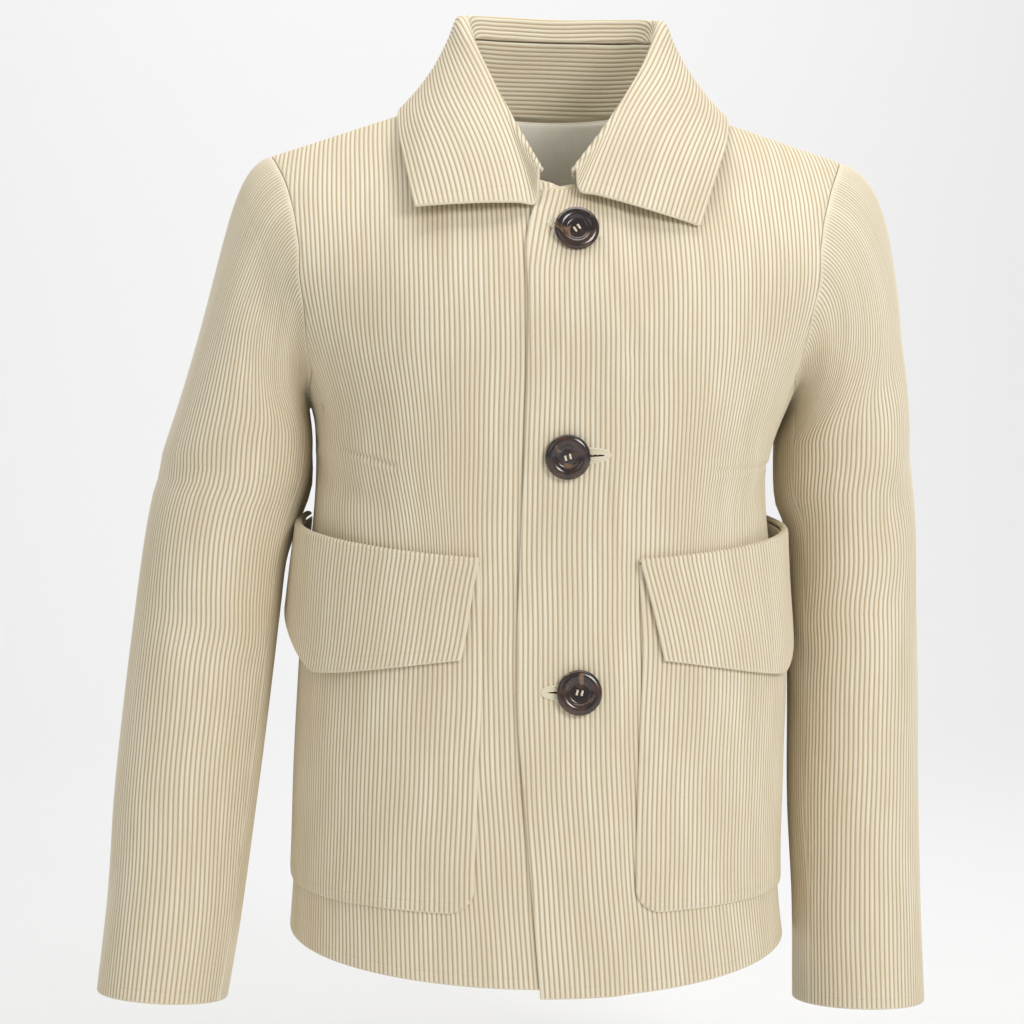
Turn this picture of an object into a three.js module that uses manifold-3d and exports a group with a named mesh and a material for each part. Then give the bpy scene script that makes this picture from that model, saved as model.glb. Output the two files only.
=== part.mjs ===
// Short corduroy jacket, buttoned up and filled out by an unseen figure.
// Millimetres, +Z up. Origin at the middle of the neck base, level with the neck points.
// +X is the wearer's left, and the front faces -Y.
import * as THREE from 'three';
import { mergeGeometries, mergeVertices } from 'three/addons/utils/BufferGeometryUtils.js';
import Module from 'manifold-3d';

const wasm = await Module();
wasm.setup();

// Driving sizes
const CLOTH = 1.8;
const COLLAR_CLOTH = 2.4;
const LINING_CLOTH = 1.0;
const LINING_GAP = 0.8;
const SEAM_GAP = 0.3;
const SLEEVE_SEAM = 0.38;
const SLEEVE_GAP = 0.35;
const NECK_HALF = 70;
const NECK_DROP = 66;
const SHOULDER_SLOPE = { left: 0.315, right: 0.345 };
const RIDGE_Y = 5;
const RIDGE_RADIUS = 20;
const RIDGE_REACH = 165;
const ARMPIT = -200;
const HEM_SIDE = -533;
const HEM_DROP = { lapping: 22, under: 17, back: 6 };
const SQUARENESS = 2.5;
const SIDE_SEAM = 96;
const SIDE_RADIUS = 150;
const NECK_RISE = 75;
const NECK_RISE_FADE = 60;
const SLOPE_FADE = 200;
const FOLD_ASIDE = { from: 100, to: 200 };
const BUST = { x: 86, level: -218, height: 7, radius: 55 };
const UNDERLAP_X = 12;
const LAP = { offset: 2.6, flatTo: 22, endsAt: 35 };
const STAND_LIFT = { all: 1.6, atFront: 3.2 };
const ROLL = { out: 2.6, rise: 1.2, width: 5.4 };
const BUTTON_RADIUS = 13.6;
const BUTTON_SHANK = 0.7;

// Girth of the body at each level: half width, depth to front and back, and sway to the side
const GIRTH = [
  { level: -560, half: 159.5, front: 128, back: 122, sway: -11 },
  { level: -500, half: 154, front: 128, back: 121, sway: -12.5 },
  { level: -425, half: 153.5, front: 127, back: 117, sway: -11 },
  { level: -350, half: 152.5, front: 124, back: 109, sway: -8.5 },
  { level: -300, half: 147.5, front: 121, back: 103, sway: -10.5 },
  { level: -258, half: 143.5, front: 121, back: 101, sway: -11 },
  { level: -225, half: 145, front: 125, back: 105, sway: -9 },
  { level: -200, half: 151, front: 127, back: 110, sway: -6 },
  { level: -170, half: 166, front: 128, back: 113, sway: -6.5 },
  { level: -140, half: 189, front: 128, back: 113, sway: -6.5 },
  { level: -110, half: 221, front: 128, back: 112, sway: -5.5 },
  { level: -80, half: 247, front: 128, back: 111, sway: -4.5 },
  { level: -40, half: 272, front: 128, back: 109, sway: -2 },
  { level: 0, half: 285, front: 128, back: 107, sway: 0 },
];

// Armhole: angle round the body where each level ends, on the front and on the back
const ARMHOLE = [
  { level: -200, front: SIDE_SEAM, back: SIDE_SEAM },
  { level: -197.5, front: 87, back: 99.5 },
  { level: -192, front: 78, back: 103 },
  { level: -183, front: 69, back: 107.5 },
  { level: -167, front: 60.5, back: 113.5 },
  { level: -145, front: 52.3, back: 122.5 },
  { level: -122, front: 45.6, back: 131 },
  { level: -99, front: 40.6, back: 136.5 },
  { level: -80, front: 38.4, back: 139.5 },
  { level: -66, front: 37.4, back: 141 },
  { level: -63.5, front: 37.3, back: 141.2 },
  { level: -57.2, front: 37, back: 141.6 },
  { level: -46.7, front: 36.7, back: 142 },
  { level: -33, front: 36.6, back: 142.3 },
  { level: -17, front: 37, back: 142.4 },
  { level: 0, front: 37.5, back: 142.5 },
];

// Edge of the front that laps over, past the centre line
const FRONT_EDGE = [
  { level: -560, x: -21 },
  { level: -467, x: -29 },
  { level: -378, x: -36 },
  { level: -260, x: -33.5 },
  { level: -140, x: -31 },
  { level: -108, x: -31.5 },
  { level: -85, x: -26.5 },
  { level: -66, x: -18 },
];

// Soft folds of the body: ends as angle and level, depth inward, half width
const BODY_FOLDS = [
  { angle1: -44, level1: -262, angle2: -78, level2: -236, depth: 2.4, width: 10 },
  { angle1: 46, level1: -266, angle2: 80, level2: -232, depth: 2.2, width: 11 },
  { angle1: -62, level1: -150, angle2: -70, level2: -215, depth: 2.0, width: 9 },
  { angle1: 60, level1: -150, angle2: 70, level2: -212, depth: 1.8, width: 9 },
  { angle1: -26, level1: -86, angle2: -40, level2: -160, depth: 1.6, width: 13 },
  { angle1: 27, level1: -92, angle2: 42, level2: -168, depth: 1.4, width: 12 },
  { angle1: 150, level1: -262, angle2: 104, level2: -238, depth: 2.6, width: 12 },
  { angle1: -148, level1: -270, angle2: -106, level2: -246, depth: 2.2, width: 13 },
  { angle1: 172, level1: -300, angle2: 128, level2: -286, depth: 1.6, width: 11 },
];

// Sleeve rings: centre, and half size across and from front to back
const SLEEVE_LEFT = [
  { level: -576, x: 192.5, y: -38, across: 40.5, deep: 50 },
  { level: -513, x: 192.5, y: -30, across: 39.5, deep: 51 },
  { level: -450, x: 192, y: -21, across: 40.5, deep: 53 },
  { level: -387, x: 193.5, y: -12, across: 40.5, deep: 55 },
  { level: -323, x: 194, y: -5, across: 40, deep: 58 },
  { level: -290, x: 194, y: -3, across: 40, deep: 60 },
  { level: -270, x: 193, y: -2, across: 40.5, deep: 61 },
  { level: -256, x: 190, y: -1, across: 43, deep: 62 },
  { level: -240, x: 189, y: 0, across: 43.5, deep: 64 },
  { level: -215, x: 188.5, y: 2, across: 42.5, deep: 66 },
];
const SLEEVE_RIGHT = [
  { level: -568, x: -249, y: -38, across: 39.5, deep: 50 },
  { level: -513, x: -242, y: -30, across: 41, deep: 51 },
  { level: -450, x: -236.5, y: -21, across: 43.5, deep: 53 },
  { level: -387, x: -230, y: -12, across: 44.5, deep: 55 },
  { level: -323, x: -223, y: -5, across: 44.5, deep: 58 },
  { level: -290, x: -219, y: -3, across: 44, deep: 60 },
  { level: -266, x: -214, y: -2, across: 44.5, deep: 61 },
  { level: -254, x: -210.5, y: -1, across: 44.5, deep: 62 },
  { level: -240, x: -207, y: 0, across: 46, deep: 64 },
  { level: -215, x: -202.4, y: 2, across: 44, deep: 66 },
];

// Sleeve folds: angle round the sleeve (0 body side, 90 front, 180 outside) and level
const FOLDS_LEFT = [
  { angle1: 150, level1: -150, angle2: 60, level2: -232, depth: 4.0, width: 13 },
  { angle1: 165, level1: -222, angle2: 70, level2: -300, depth: 3.4, width: 14 },
  { angle1: 110, level1: -318, angle2: 40, level2: -352, depth: 2.6, width: 12 },
  { angle1: 215, level1: -190, angle2: 285, level2: -262, depth: 3.2, width: 13 },
  { angle1: 230, level1: -300, angle2: 300, level2: -334, depth: 2.8, width: 12 },
];
const FOLDS_RIGHT = [
  { angle1: 128, level1: -100, angle2: 58, level2: -190, depth: 4.2, width: 12 },
  { angle1: 96, level1: -170, angle2: 52, level2: -204, depth: 3.6, width: 9 },
  { angle1: 140, level1: -250, angle2: 62, level2: -222, depth: 3.0, width: 12 },
  { angle1: 120, level1: -330, angle2: 48, level2: -362, depth: 3.0, width: 12 },
  { angle1: 210, level1: -180, angle2: 290, level2: -252, depth: 3.4, width: 13 },
  { angle1: 225, level1: -310, angle2: 300, level2: -340, depth: 2.6, width: 12 },
  { angle1: 338, level1: -228, angle2: 342, level2: -285, depth: -5, width: 10 },
];

// Pockets: heights at the inner edge and at the side seam
const POCKET = {
  innerX: 47.5, cornerRadius: 16, endAngle: 95, cloth: CLOTH + 0.6,
  bottomInner: -505, bottomSide: -498,
  foldInner: -297, foldSide: -270,
  hangHalf: 152.5, hangsFrom: 0.25, bend: 1.3, cuffClear: 1.6, cuffSlant: 12,
};
const CUFF_EDGE = [
  { u: 0, level: -355, flareLeft: 0, flareRight: 0 },
  { u: 0.5, level: -366, flareLeft: 1, flareRight: 3 },
  { u: 0.62, level: -357, flareLeft: 1.5, flareRight: 5 },
  { u: 0.75, level: -342, flareLeft: 1.5, flareRight: 7 },
  { u: 0.87, level: -330, flareLeft: 1, flareRight: 7 },
  { u: 1, level: -322, flareLeft: 1, flareRight: 5 },
];

// Collar stations from the centre back (first) to the front end (last), for the +X side;
// drop is how far the fall starts below the roll line
const COLLAR = [
  { neckX: 0, neckLevel: 0, neckShift: 0, seamX: 0, seamY: 67, seamZ: 52,
    rollX: 0, rollY: 70, rollZ: 67, midX: 0, midY: 86, midZ: 32, edgeX: 0, edgeY: 93, edgeZ: -12,
    shift: 5, drop: 0 },
  { neckX: 38, neckLevel: 0, neckShift: 0, seamX: 36, seamY: 60, seamZ: 51,
    rollX: 39, rollY: 63, rollZ: 66.5, midX: 48, midY: 78, midZ: 31, edgeX: 53, edgeY: 82, edgeZ: -13,
    shift: 5, drop: 0 },
  { neckX: 61, neckLevel: 0, neckShift: 0, seamX: 56, seamY: 38, seamZ: 47,
    rollX: 60, rollY: 41, rollZ: 62, midX: 76, midY: 50, midZ: 26, edgeX: 90, edgeY: 50, edgeZ: -14,
    shift: 4.5, drop: 0 },
  { neckX: 70, neckLevel: 0, neckShift: 0, seamX: 59, seamY: 8, seamZ: 38,
    rollX: 62.5, rollY: 9, rollZ: 52, midX: 84, midY: 9, midZ: 16, edgeX: 106, edgeY: 2, edgeZ: -7,
    shift: 3, drop: 0 },
  { neckX: 61, neckLevel: -33, neckShift: -1, seamX: 49, seamY: -31, seamZ: 6,
    rollX: 51, rollY: -34, rollZ: 18, midX: 80, midY: -38, midZ: 1, edgeX: 104, edgeY: -42, edgeZ: -30,
    shift: -1, drop: 0 },
  { neckX: 38, neckLevel: -55, neckShift: -6, seamX: 31, seamY: -64, seamZ: -30,
    rollX: 31, rollY: -70, rollZ: -22, midX: 62, midY: -85, midZ: -30, edgeX: 96, edgeY: -79, edgeZ: -57,
    shift: -6, drop: 1 },
  { neckX: 10, neckLevel: -66, neckShift: -10, seamX: 10, seamY: -88, seamZ: -60.5,
    rollX: 9, rollY: -96.5, rollZ: -58.5, midX: 44, midY: -115, midZ: -80, edgeX: 87, edgeY: -103, edgeZ: -87,
    shift: -11, drop: 16.5 },
];
// The front ends' own drop and edge height
const FRONT_END = { left: { drop: -4, edge: -4.5 }, right: { drop: 4, edge: 4.5 } };

const BUTTONS = [
  { name: 'button_top', x: -1, level: -97.5 },
  { name: 'button_middle', x: -7, level: -232.5 },
  { name: 'button_bottom', x: 0.5, level: -373.5 },
];

const RAD = Math.PI / 180;
const lerp = THREE.MathUtils.lerp;
const clamp = THREE.MathUtils.clamp;
const smooth = (x, from, to) => THREE.MathUtils.smoothstep(x, Math.min(from, to), Math.max(from, to));

// Value of one column of a table, as a smooth curve through its rows
function along(table, key, at, column) {
  const last = table.length - 1;
  const rising = table[last][key] > table[0][key];
  const before = (row) => (rising ? row[key] <= at : row[key] >= at);
  let i = 0;
  while (i < last - 1 && before(table[i + 1])) i += 1;
  const slope = (k) => {
    const a = table[Math.max(k - 1, 0)];
    const b = table[Math.min(k + 1, last)];
    return (b[column] - a[column]) / (b[key] - a[key]);
  };
  const span = table[i + 1][key] - table[i][key];
  const t = clamp((at - table[i][key]) / span, 0, 1);
  const t2 = t * t;
  const t3 = t2 * t;
  return (2 * t3 - 3 * t2 + 1) * table[i][column] + (t3 - 2 * t2 + t) * span * slope(i)
    + (3 * t2 - 2 * t3) * table[i + 1][column] + (t3 - t2) * span * slope(i + 1);
}

// Depth of the folds at one place, where 'across' turns degrees into millimetres
function foldDepth(folds, angle, level, across) {
  let depth = 0;
  for (const fold of folds) {
    const ax = fold.angle1 * across;
    const bx = fold.angle2 * across;
    const dx = bx - ax;
    const dz = fold.level2 - fold.level1;
    const px = angle * across - ax;
    const pz = level - fold.level1;
    const t = clamp((px * dx + pz * dz) / (dx * dx + dz * dz), 0, 1);
    const away = Math.hypot(px - t * dx, pz - t * dz) / fold.width;
    depth += fold.depth * Math.exp(-away * away) * (0.45 + 0.55 * Math.sin(Math.PI * t));
  }
  return depth;
}

// How far the body has grown below the shoulder ridge, from 0 to 1
function ridgeGrowth(drop) {
  const d = clamp(drop, 0, RIDGE_REACH);
  const part = Math.sqrt(d * d + 2 * RIDGE_RADIUS * d);
  const whole = Math.sqrt(RIDGE_REACH ** 2 + 2 * RIDGE_RADIUS * RIDGE_REACH);
  return Math.sin((Math.PI / 2) * (part / whole));
}

const slopeAt = (x) => (x > 0 ? SHOULDER_SLOPE.left : SHOULDER_SLOPE.right);
const tiltShare = (level) => clamp(1 + level / SLOPE_FADE, 0, 1) ** 2;

// Angle round the body at which a level reaches x
function angleAt(level, x) {
  const from = x - along(GIRTH, 'level', level, 'sway');
  const q = Math.min(Math.abs(from) / along(GIRTH, 'level', level, 'half'), 0.9999) ** SQUARENESS;
  return Math.sign(from) * Math.atan((q / (1 - q)) ** (1 / SQUARENESS)) / RAD;
}

// The body's surface. Angle 0 is the centre front, 90 the +X side and 180 the centre back
function body(angle, level) {
  const sin = Math.sin(angle * RAD);
  const cos = Math.cos(angle * RAD);
  const round = (Math.abs(sin) ** SQUARENESS + Math.abs(cos) ** SQUARENESS) ** (1 / SQUARENESS);
  const half = along(GIRTH, 'level', level, 'half');
  const x = (half * sin) / round;
  const beyond = Math.max(0, Math.abs(x) - NECK_HALF);
  const tilt = slopeAt(x) * tiltShare(level);
  const z = level - tilt * beyond;
  let drop = -level - (slopeAt(x) - tilt) * beyond;
  if (cos < 0 && Math.abs(x) < NECK_HALF) {
    drop += NECK_RISE * (1 - (x / NECK_HALF) ** 2) * Math.exp(level / NECK_RISE_FADE);
  }
  const depth = along(GIRTH, 'level', level, cos > 0 ? 'front' : 'back');
  const reach = cos > 0 ? depth + RIDGE_Y : depth - RIDGE_Y;
  const bust = cos > 0 ? BUST.height * Math.exp(
    -(((Math.abs(x) - BUST.x) / BUST.radius) ** 2) - ((level - BUST.level) / BUST.radius) ** 2) : 0;
  const fold = foldDepth(BODY_FOLDS, angle, level, half * RAD);
  const out = (reach * ridgeGrowth(drop) + bust - fold) * (-cos / round);
  const aside = -fold * (sin / round) * smooth(-level, FOLD_ASIDE.from, FOLD_ASIDE.to);
  return new THREE.Vector3(x + aside + along(GIRTH, 'level', level, 'sway'), RIDGE_Y + out, z);
}

// Unit vector out of the body's surface
function bodyNormal(angle, level) {
  const step = 0.02;
  const down = level - 0.1 * step;
  const a = body(angle + step, down).sub(body(angle - step, down));
  const b = body(angle, Math.min(level + step, 0)).sub(body(angle, Math.min(level + step, 0) - 2 * step));
  return a.cross(b).normalize();
}

const onBody = (angle, level, out) => body(angle, level).addScaledVector(bodyNormal(angle, level), out);

// Closed wall between two grids of points, rows of equal length, given the outer and inner face
function wall(name, outer, inner, colour) {
  const rows = outer.length;
  const cols = outer[0].length;
  const points = [];
  for (const face of [outer, inner]) {
    for (const row of face) for (const p of row) points.push(p.x, p.y, p.z);
  }
  const at = (face, i, j) => face * rows * cols + i * cols + j;
  const index = [];
  const quad = (a, b, c, d) => index.push(a, b, c, a, c, d);
  for (let i = 0; i < rows - 1; i += 1) {
    for (let j = 0; j < cols - 1; j += 1) {
      quad(at(0, i, j), at(0, i, j + 1), at(0, i + 1, j + 1), at(0, i + 1, j));
      quad(at(1, i, j), at(1, i + 1, j), at(1, i + 1, j + 1), at(1, i, j + 1));
    }
    quad(at(0, i, 0), at(0, i + 1, 0), at(1, i + 1, 0), at(1, i, 0));
    quad(at(0, i + 1, cols - 1), at(0, i, cols - 1), at(1, i, cols - 1), at(1, i + 1, cols - 1));
  }
  for (let j = 0; j < cols - 1; j += 1) {
    quad(at(0, 0, j + 1), at(0, 0, j), at(1, 0, j), at(1, 0, j + 1));
    quad(at(0, rows - 1, j), at(0, rows - 1, j + 1), at(1, rows - 1, j + 1), at(1, rows - 1, j));
  }
  const geometry = new THREE.BufferGeometry();
  geometry.setAttribute('position', new THREE.Float32BufferAttribute(points, 3));
  geometry.setIndex(index);
  return cloth(name, facingOut(geometry), colour);
}

// The geometry with its faces turned out, whichever way its grid ran
function facingOut(geometry) {
  const p = geometry.attributes.position;
  const index = geometry.index.array;
  let volume = 0;
  const [a, b, c] = [new THREE.Vector3(), new THREE.Vector3(), new THREE.Vector3()];
  for (let i = 0; i < index.length; i += 3) {
    a.fromBufferAttribute(p, index[i]);
    b.fromBufferAttribute(p, index[i + 1]);
    c.fromBufferAttribute(p, index[i + 2]);
    volume += a.dot(b.cross(c));
  }
  if (volume < 0) {
    for (let i = 0; i < index.length; i += 3) [index[i], index[i + 1]] = [index[i + 1], index[i]];
  }
  return geometry;
}

function cloth(name, geometry, colour) {
  geometry.computeVertexNormals();
  const material = new THREE.MeshStandardMaterial({ color: colour, roughness: 0.9, metalness: 0 });
  const mesh = new THREE.Mesh(geometry, material);
  mesh.name = name;
  return mesh;
}

const spaced = (count, f) => Array.from({ length: count }, (_, i) => f(i / (count - 1)));

// Panel on the body: each row has a level function and its two end angles
function panel(name, rows, columns, offset, colour, thickness = CLOTH) {
  const grid = (extra) => rows.map((row) => columns.map((u) => {
    const angle = lerp(row.from, row.to, u);
    const p = onBody(angle, row.levelAt(angle), offset(angle, row.levelAt(angle)) + extra);
    if (row.shoulder) p.y += row.shoulder;
    return p;
  }));
  return wall(name, grid(thickness), grid(0), colour);
}

const even = (count) => spaced(count, (t) => t);
const LAP_COLUMNS = [0, 0.08, 0.16, 0.24, 0.3, 0.37, 0.45, 0.53, 0.61, 0.69, 0.77, 0.85, 0.93, 1];

const CREAM = 0xdcd3bd;
const LINING = 0xd9d2c2;
const BUTTON_BROWN = 0x3a2418;

const girthGap = (SEAM_GAP / 2 / SIDE_RADIUS) / RAD;

function hemAt(angle, frontDrop) {
  const cos = Math.cos(angle * RAD);
  return HEM_SIDE - (cos > 0 ? frontDrop : HEM_DROP.back) * cos * cos;
}

// Levels of the body below the armpit, as a part of the way down to the hem
const BELOW = [1, 0.91, 0.82, 0.73, 0.64, 0.55, 0.46, 0.38, 0.3, 0.22, 0.145, 0.07];

// Front on one side. The lapping front reaches past the centre, the other stops under it
function front(side) {
  const laps = side > 0;
  const frontDrop = laps ? HEM_DROP.lapping : HEM_DROP.under;
  const edgeX = (level) => (laps
    ? along(FRONT_EDGE, 'level', level, 'x') : UNDERLAP_X * smooth(-level, NECK_DROP, NECK_DROP + 25));
  const rows = BELOW.map((part) => {
    const levelAt = (angle) => lerp(ARMPIT, hemAt(angle, frontDrop), part);
    return { levelAt, from: angleAt(levelAt(0), edgeX(levelAt(0))), to: side * (SIDE_SEAM - girthGap) };
  });
  for (const { level, front: end } of ARMHOLE) {
    const high = level > -NECK_DROP;
    const neckX = side * NECK_HALF * Math.sqrt(Math.max(0, 1 - (level / NECK_DROP) ** 2));
    rows.push({
      levelAt: () => level,
      from: angleAt(level, high ? neckX : edgeX(level)),
      to: side * Math.min(end, SIDE_SEAM - girthGap),
      shoulder: level === 0 ? -SEAM_GAP / 2 : 0,
    });
  }
  const lapped = (angle, level) => (laps
    ? LAP.offset * (1 - smooth(body(angle, level).x, LAP.flatTo, LAP.endsAt)) : 0);
  return panel(laps ? 'front_left' : 'front_right', rows, laps ? LAP_COLUMNS : even(13), lapped, CREAM);
}

function back() {
  const rows = BELOW.map((part) => ({
    levelAt: (angle) => lerp(ARMPIT, hemAt(angle, HEM_DROP.back), part),
    from: SIDE_SEAM + girthGap,
    to: 360 - SIDE_SEAM - girthGap,
  }));
  for (const { level, back: end } of ARMHOLE) {
    if (level === 0) break;
    const from = Math.max(end, SIDE_SEAM + girthGap);
    rows.push({ levelAt: () => level, from, to: 360 - from });
  }
  const { back: end } = ARMHOLE[ARMHOLE.length - 1];
  rows.push({ levelAt: () => 0, from: end, to: 360 - end, shoulder: SEAM_GAP / 2 });
  return panel('back', rows, even(21), () => 0, CREAM);
}

// The part of the back's lining that shows through the neck
function backLining() {
  const rows = ARMHOLE.filter(({ level }) => level > -125).map(({ level, back: end }) => ({
    levelAt: () => level, from: end + 1, to: 359 - end,
  }));
  return panel('back_lining', rows, even(21), () => -LINING_CLOTH - LINING_GAP, LINING, LINING_CLOTH);
}

// Rim of the armhole, in order up the front and down the back, with the way the sleeve leaves
function armholeRim(side) {
  const up = ARMHOLE.map((row) => ({ angle: side * row.front, level: row.level }));
  const down = ARMHOLE.slice(1, -1).reverse().map((row) => ({ angle: side * row.back, level: row.level }));
  const loop = [...up, ...down];
  const rim = loop.map(({ angle, level }) => ({
    middle: onBody(angle, level, CLOTH / 2), normal: bodyNormal(angle, level),
  }));
  const count = rim.length;
  rim.forEach((place, i) => {
    const ahead = rim[(i + 1) % count].middle;
    const behind = rim[(i + count - 1) % count].middle;
    place.run = ahead.clone().sub(behind).normalize();
    place.away = place.normal.clone().cross(place.run).multiplyScalar(side > 0 ? -1 : 1).normalize();
  });
  return rim;
}

const LEAN_STEP = 45;

// Ring of the sleeve: angle 0 is next to the body, 90 the front and 180 the outside
function sleeveRing(table, side, angle, level) {
  const value = (column, z = level) => along(table, 'level', z, column);
  const leanX = (value('x', level + LEAN_STEP) - value('x', level - LEAN_STEP)) / (2 * LEAN_STEP);
  const leanY = (value('y', level + LEAN_STEP) - value('y', level - LEAN_STEP)) / (2 * LEAN_STEP);
  const dx = -side * Math.cos(angle * RAD) * value('across');
  const dy = -Math.sin(angle * RAD) * value('deep');
  return new THREE.Vector3(value('x') + dx, value('y') + dy, level - leanX * dx - leanY * dy);
}

const BICEP = -222;
const SLEEVE_RADIUS = 48;
const SLEEVE_TURN = 1.6;
const CAP_LIFT = { left: 0.19, right: 0.14 };
const CAP_START = 3;
const CAP_FULLNESS = 0.62;
const CAP_STEPS = [0, 0.06, 0.14, 0.24, 0.36, 0.5, 0.66, 0.83];
const SLEEVE_LEVELS = [-222, -240, -254, -266, -290, -323, -355, -387, -418, -450, -481, -513, -543];

// Whole sleeve as rows of points from the armhole down to the cuff
function sleeveGrid(side, table, folds) {
  const rim = armholeRim(side);
  const count = rim.length;
  const lengths = rim.map((place, i) => place.middle.distanceTo(rim[(i + 1) % count].middle));
  const shoulder = ARMHOLE.length - 1;
  const upTo = lengths.slice(0, shoulder).reduce((a, b) => a + b, 0);
  const downFrom = lengths.slice(shoulder).reduce((a, b) => a + b, 0);
  let run = 0;
  const angles = lengths.map((length, i) => {
    const angle = i <= shoulder ? (180 * run) / upTo : 180 + (180 * (run - upTo)) / downFrom;
    run += length;
    return angle;
  });
  const outward = new THREE.Vector3(side, 0, 0);
  const lift = side > 0 ? CAP_LIFT.left : CAP_LIFT.right;
  const cuff = table[0].level;
  const columns = rim.map((place, i) => {
    const turn = SLEEVE_TURN * (1 - Math.abs(place.away.dot(outward)));
    const leave = place.away.clone().addScaledVector(outward, turn).normalize();
    const faceOut = place.run.clone().cross(leave).normalize();
    const bend = Math.abs(faceOut.dot(place.away));
    const start = place.middle.clone().addScaledVector(place.away, SLEEVE_GAP + (CLOTH / 2) * bend);
    const end = sleeveRing(table, side, angles[i], BICEP);
    const below = sleeveRing(table, side, angles[i], BICEP - 6);
    const far = start.distanceTo(end);
    const p1 = start.clone().addScaledVector(leave, lift * far + CAP_START);
    const p2 = end.clone().addScaledVector(end.clone().sub(below).normalize(), CAP_FULLNESS * far);
    const cap = new THREE.CubicBezierCurve3(start, p1, p2, end);
    const points = CAP_STEPS.map((t) => cap.getPoint(t));
    for (const level of [...SLEEVE_LEVELS, cuff]) points.push(sleeveRing(table, side, angles[i], level));
    return points;
  });
  const rows = columns[0].map((_, r) => columns.map((column) => column[r]));
  const normals = gridNormals(rows, side);
  rows.forEach((row, r) => row.forEach((p, i) => {
    const ease = smooth(r, 0, 4);
    p.addScaledVector(normals[r][i], -ease * foldDepth(folds, angles[i], p.z, SLEEVE_RADIUS * RAD));
  }));
  return { rows, normals: gridNormals(rows, side) };
}

// Normals of a grid whose rows close on themselves
function gridNormals(rows, side) {
  const last = rows.length - 1;
  return rows.map((row, r) => row.map((p, i) => {
    const count = row.length;
    const down = rows[Math.min(r + 1, last)][i].clone().sub(rows[Math.max(r - 1, 0)][i]);
    const round = row[(i + 1) % count].clone().sub(row[(i + count - 1) % count]);
    return round.cross(down).multiplyScalar(side > 0 ? -1 : 1).normalize();
  }));
}

// The two pieces of a sleeve, parted at a front and a back seam
const FRONT_PITCH = 2;
const BACK_PITCH = 26;
function sleeve(side, table, folds) {
  const { rows, normals } = sleeveGrid(side, table, folds);
  const count = rows[0].length;
  const hand = side > 0 ? 'left' : 'right';
  const piece = (name, first, last) => {
    const face = (out) => rows.map((row, r) => {
      const points = [];
      for (let i = first; i <= last; i += 1) {
        points.push(row[i % count].clone().addScaledVector(normals[r][i % count], out));
      }
      const edge = (end, next) => {
        const inward = points[next].clone().sub(points[end]);
        points[end].addScaledVector(inward.normalize(), SLEEVE_SEAM);
      };
      edge(0, 1);
      edge(points.length - 1, points.length - 2);
      return points;
    });
    return wall(name, face(CLOTH / 2), face(-CLOTH / 2), CREAM);
  };
  return [
    piece(`sleeve_top_${hand}`, FRONT_PITCH, BACK_PITCH),
    piece(`sleeve_under_${hand}`, BACK_PITCH, count + FRONT_PITCH),
  ];
}

const pocketFold = (u) => lerp(POCKET.foldInner, POCKET.foldSide, u ** POCKET.bend);
function pocketAngle(side, u, level, cut = 0) {
  const x = side * (POCKET.innerX + cut) + along(GIRTH, 'level', level, 'sway');
  return lerp(angleAt(level, x), side * POCKET.endAngle, u);
}

// Pocket cloth hangs straight past the waist: how far it stands out there, at an angle of the body
function pocketHang(side, angle, level) {
  const inner = pocketAngle(side, POCKET.hangsFrom, level);
  const part = clamp((angle - inner) / (side * POCKET.endAngle - inner), 0, 1);
  const share = Math.sin(Math.PI * part ** POCKET.bend);
  return Math.max(0, POCKET.hangHalf - along(GIRTH, 'level', level, 'half')) * share;
}

const POCKET_COLUMNS = 15;
function pocket(side) {
  const rowsOut = [];
  const rowsIn = [];
  const steps = [0, 0.02, 0.05, 0.085, 0.18, 0.3, 0.42, 0.54, 0.66, 0.78, 0.9, 1];
  for (const w of steps) {
    const rowOut = [];
    const rowIn = [];
    for (const u of even(POCKET_COLUMNS)) {
      const bottom = lerp(POCKET.bottomInner, POCKET.bottomSide, u);
      const level = lerp(bottom, pocketFold(u), w);
      const up = Math.min((level - bottom) / POCKET.cornerRadius, 1);
      const cut = POCKET.cornerRadius * (1 - Math.sqrt(1 - (1 - up) ** 2));
      const angle = pocketAngle(side, u, level, cut);
      const out = POCKET.cloth + pocketHang(side, angle, level);
      rowIn.push(onBody(angle, level, out));
      rowOut.push(onBody(angle, level, out + CLOTH));
    }
    rowsOut.push(rowOut);
    rowsIn.push(rowIn);
  }
  return wall(side > 0 ? 'pocket_left' : 'pocket_right', rowsOut, rowsIn, CREAM);
}

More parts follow.
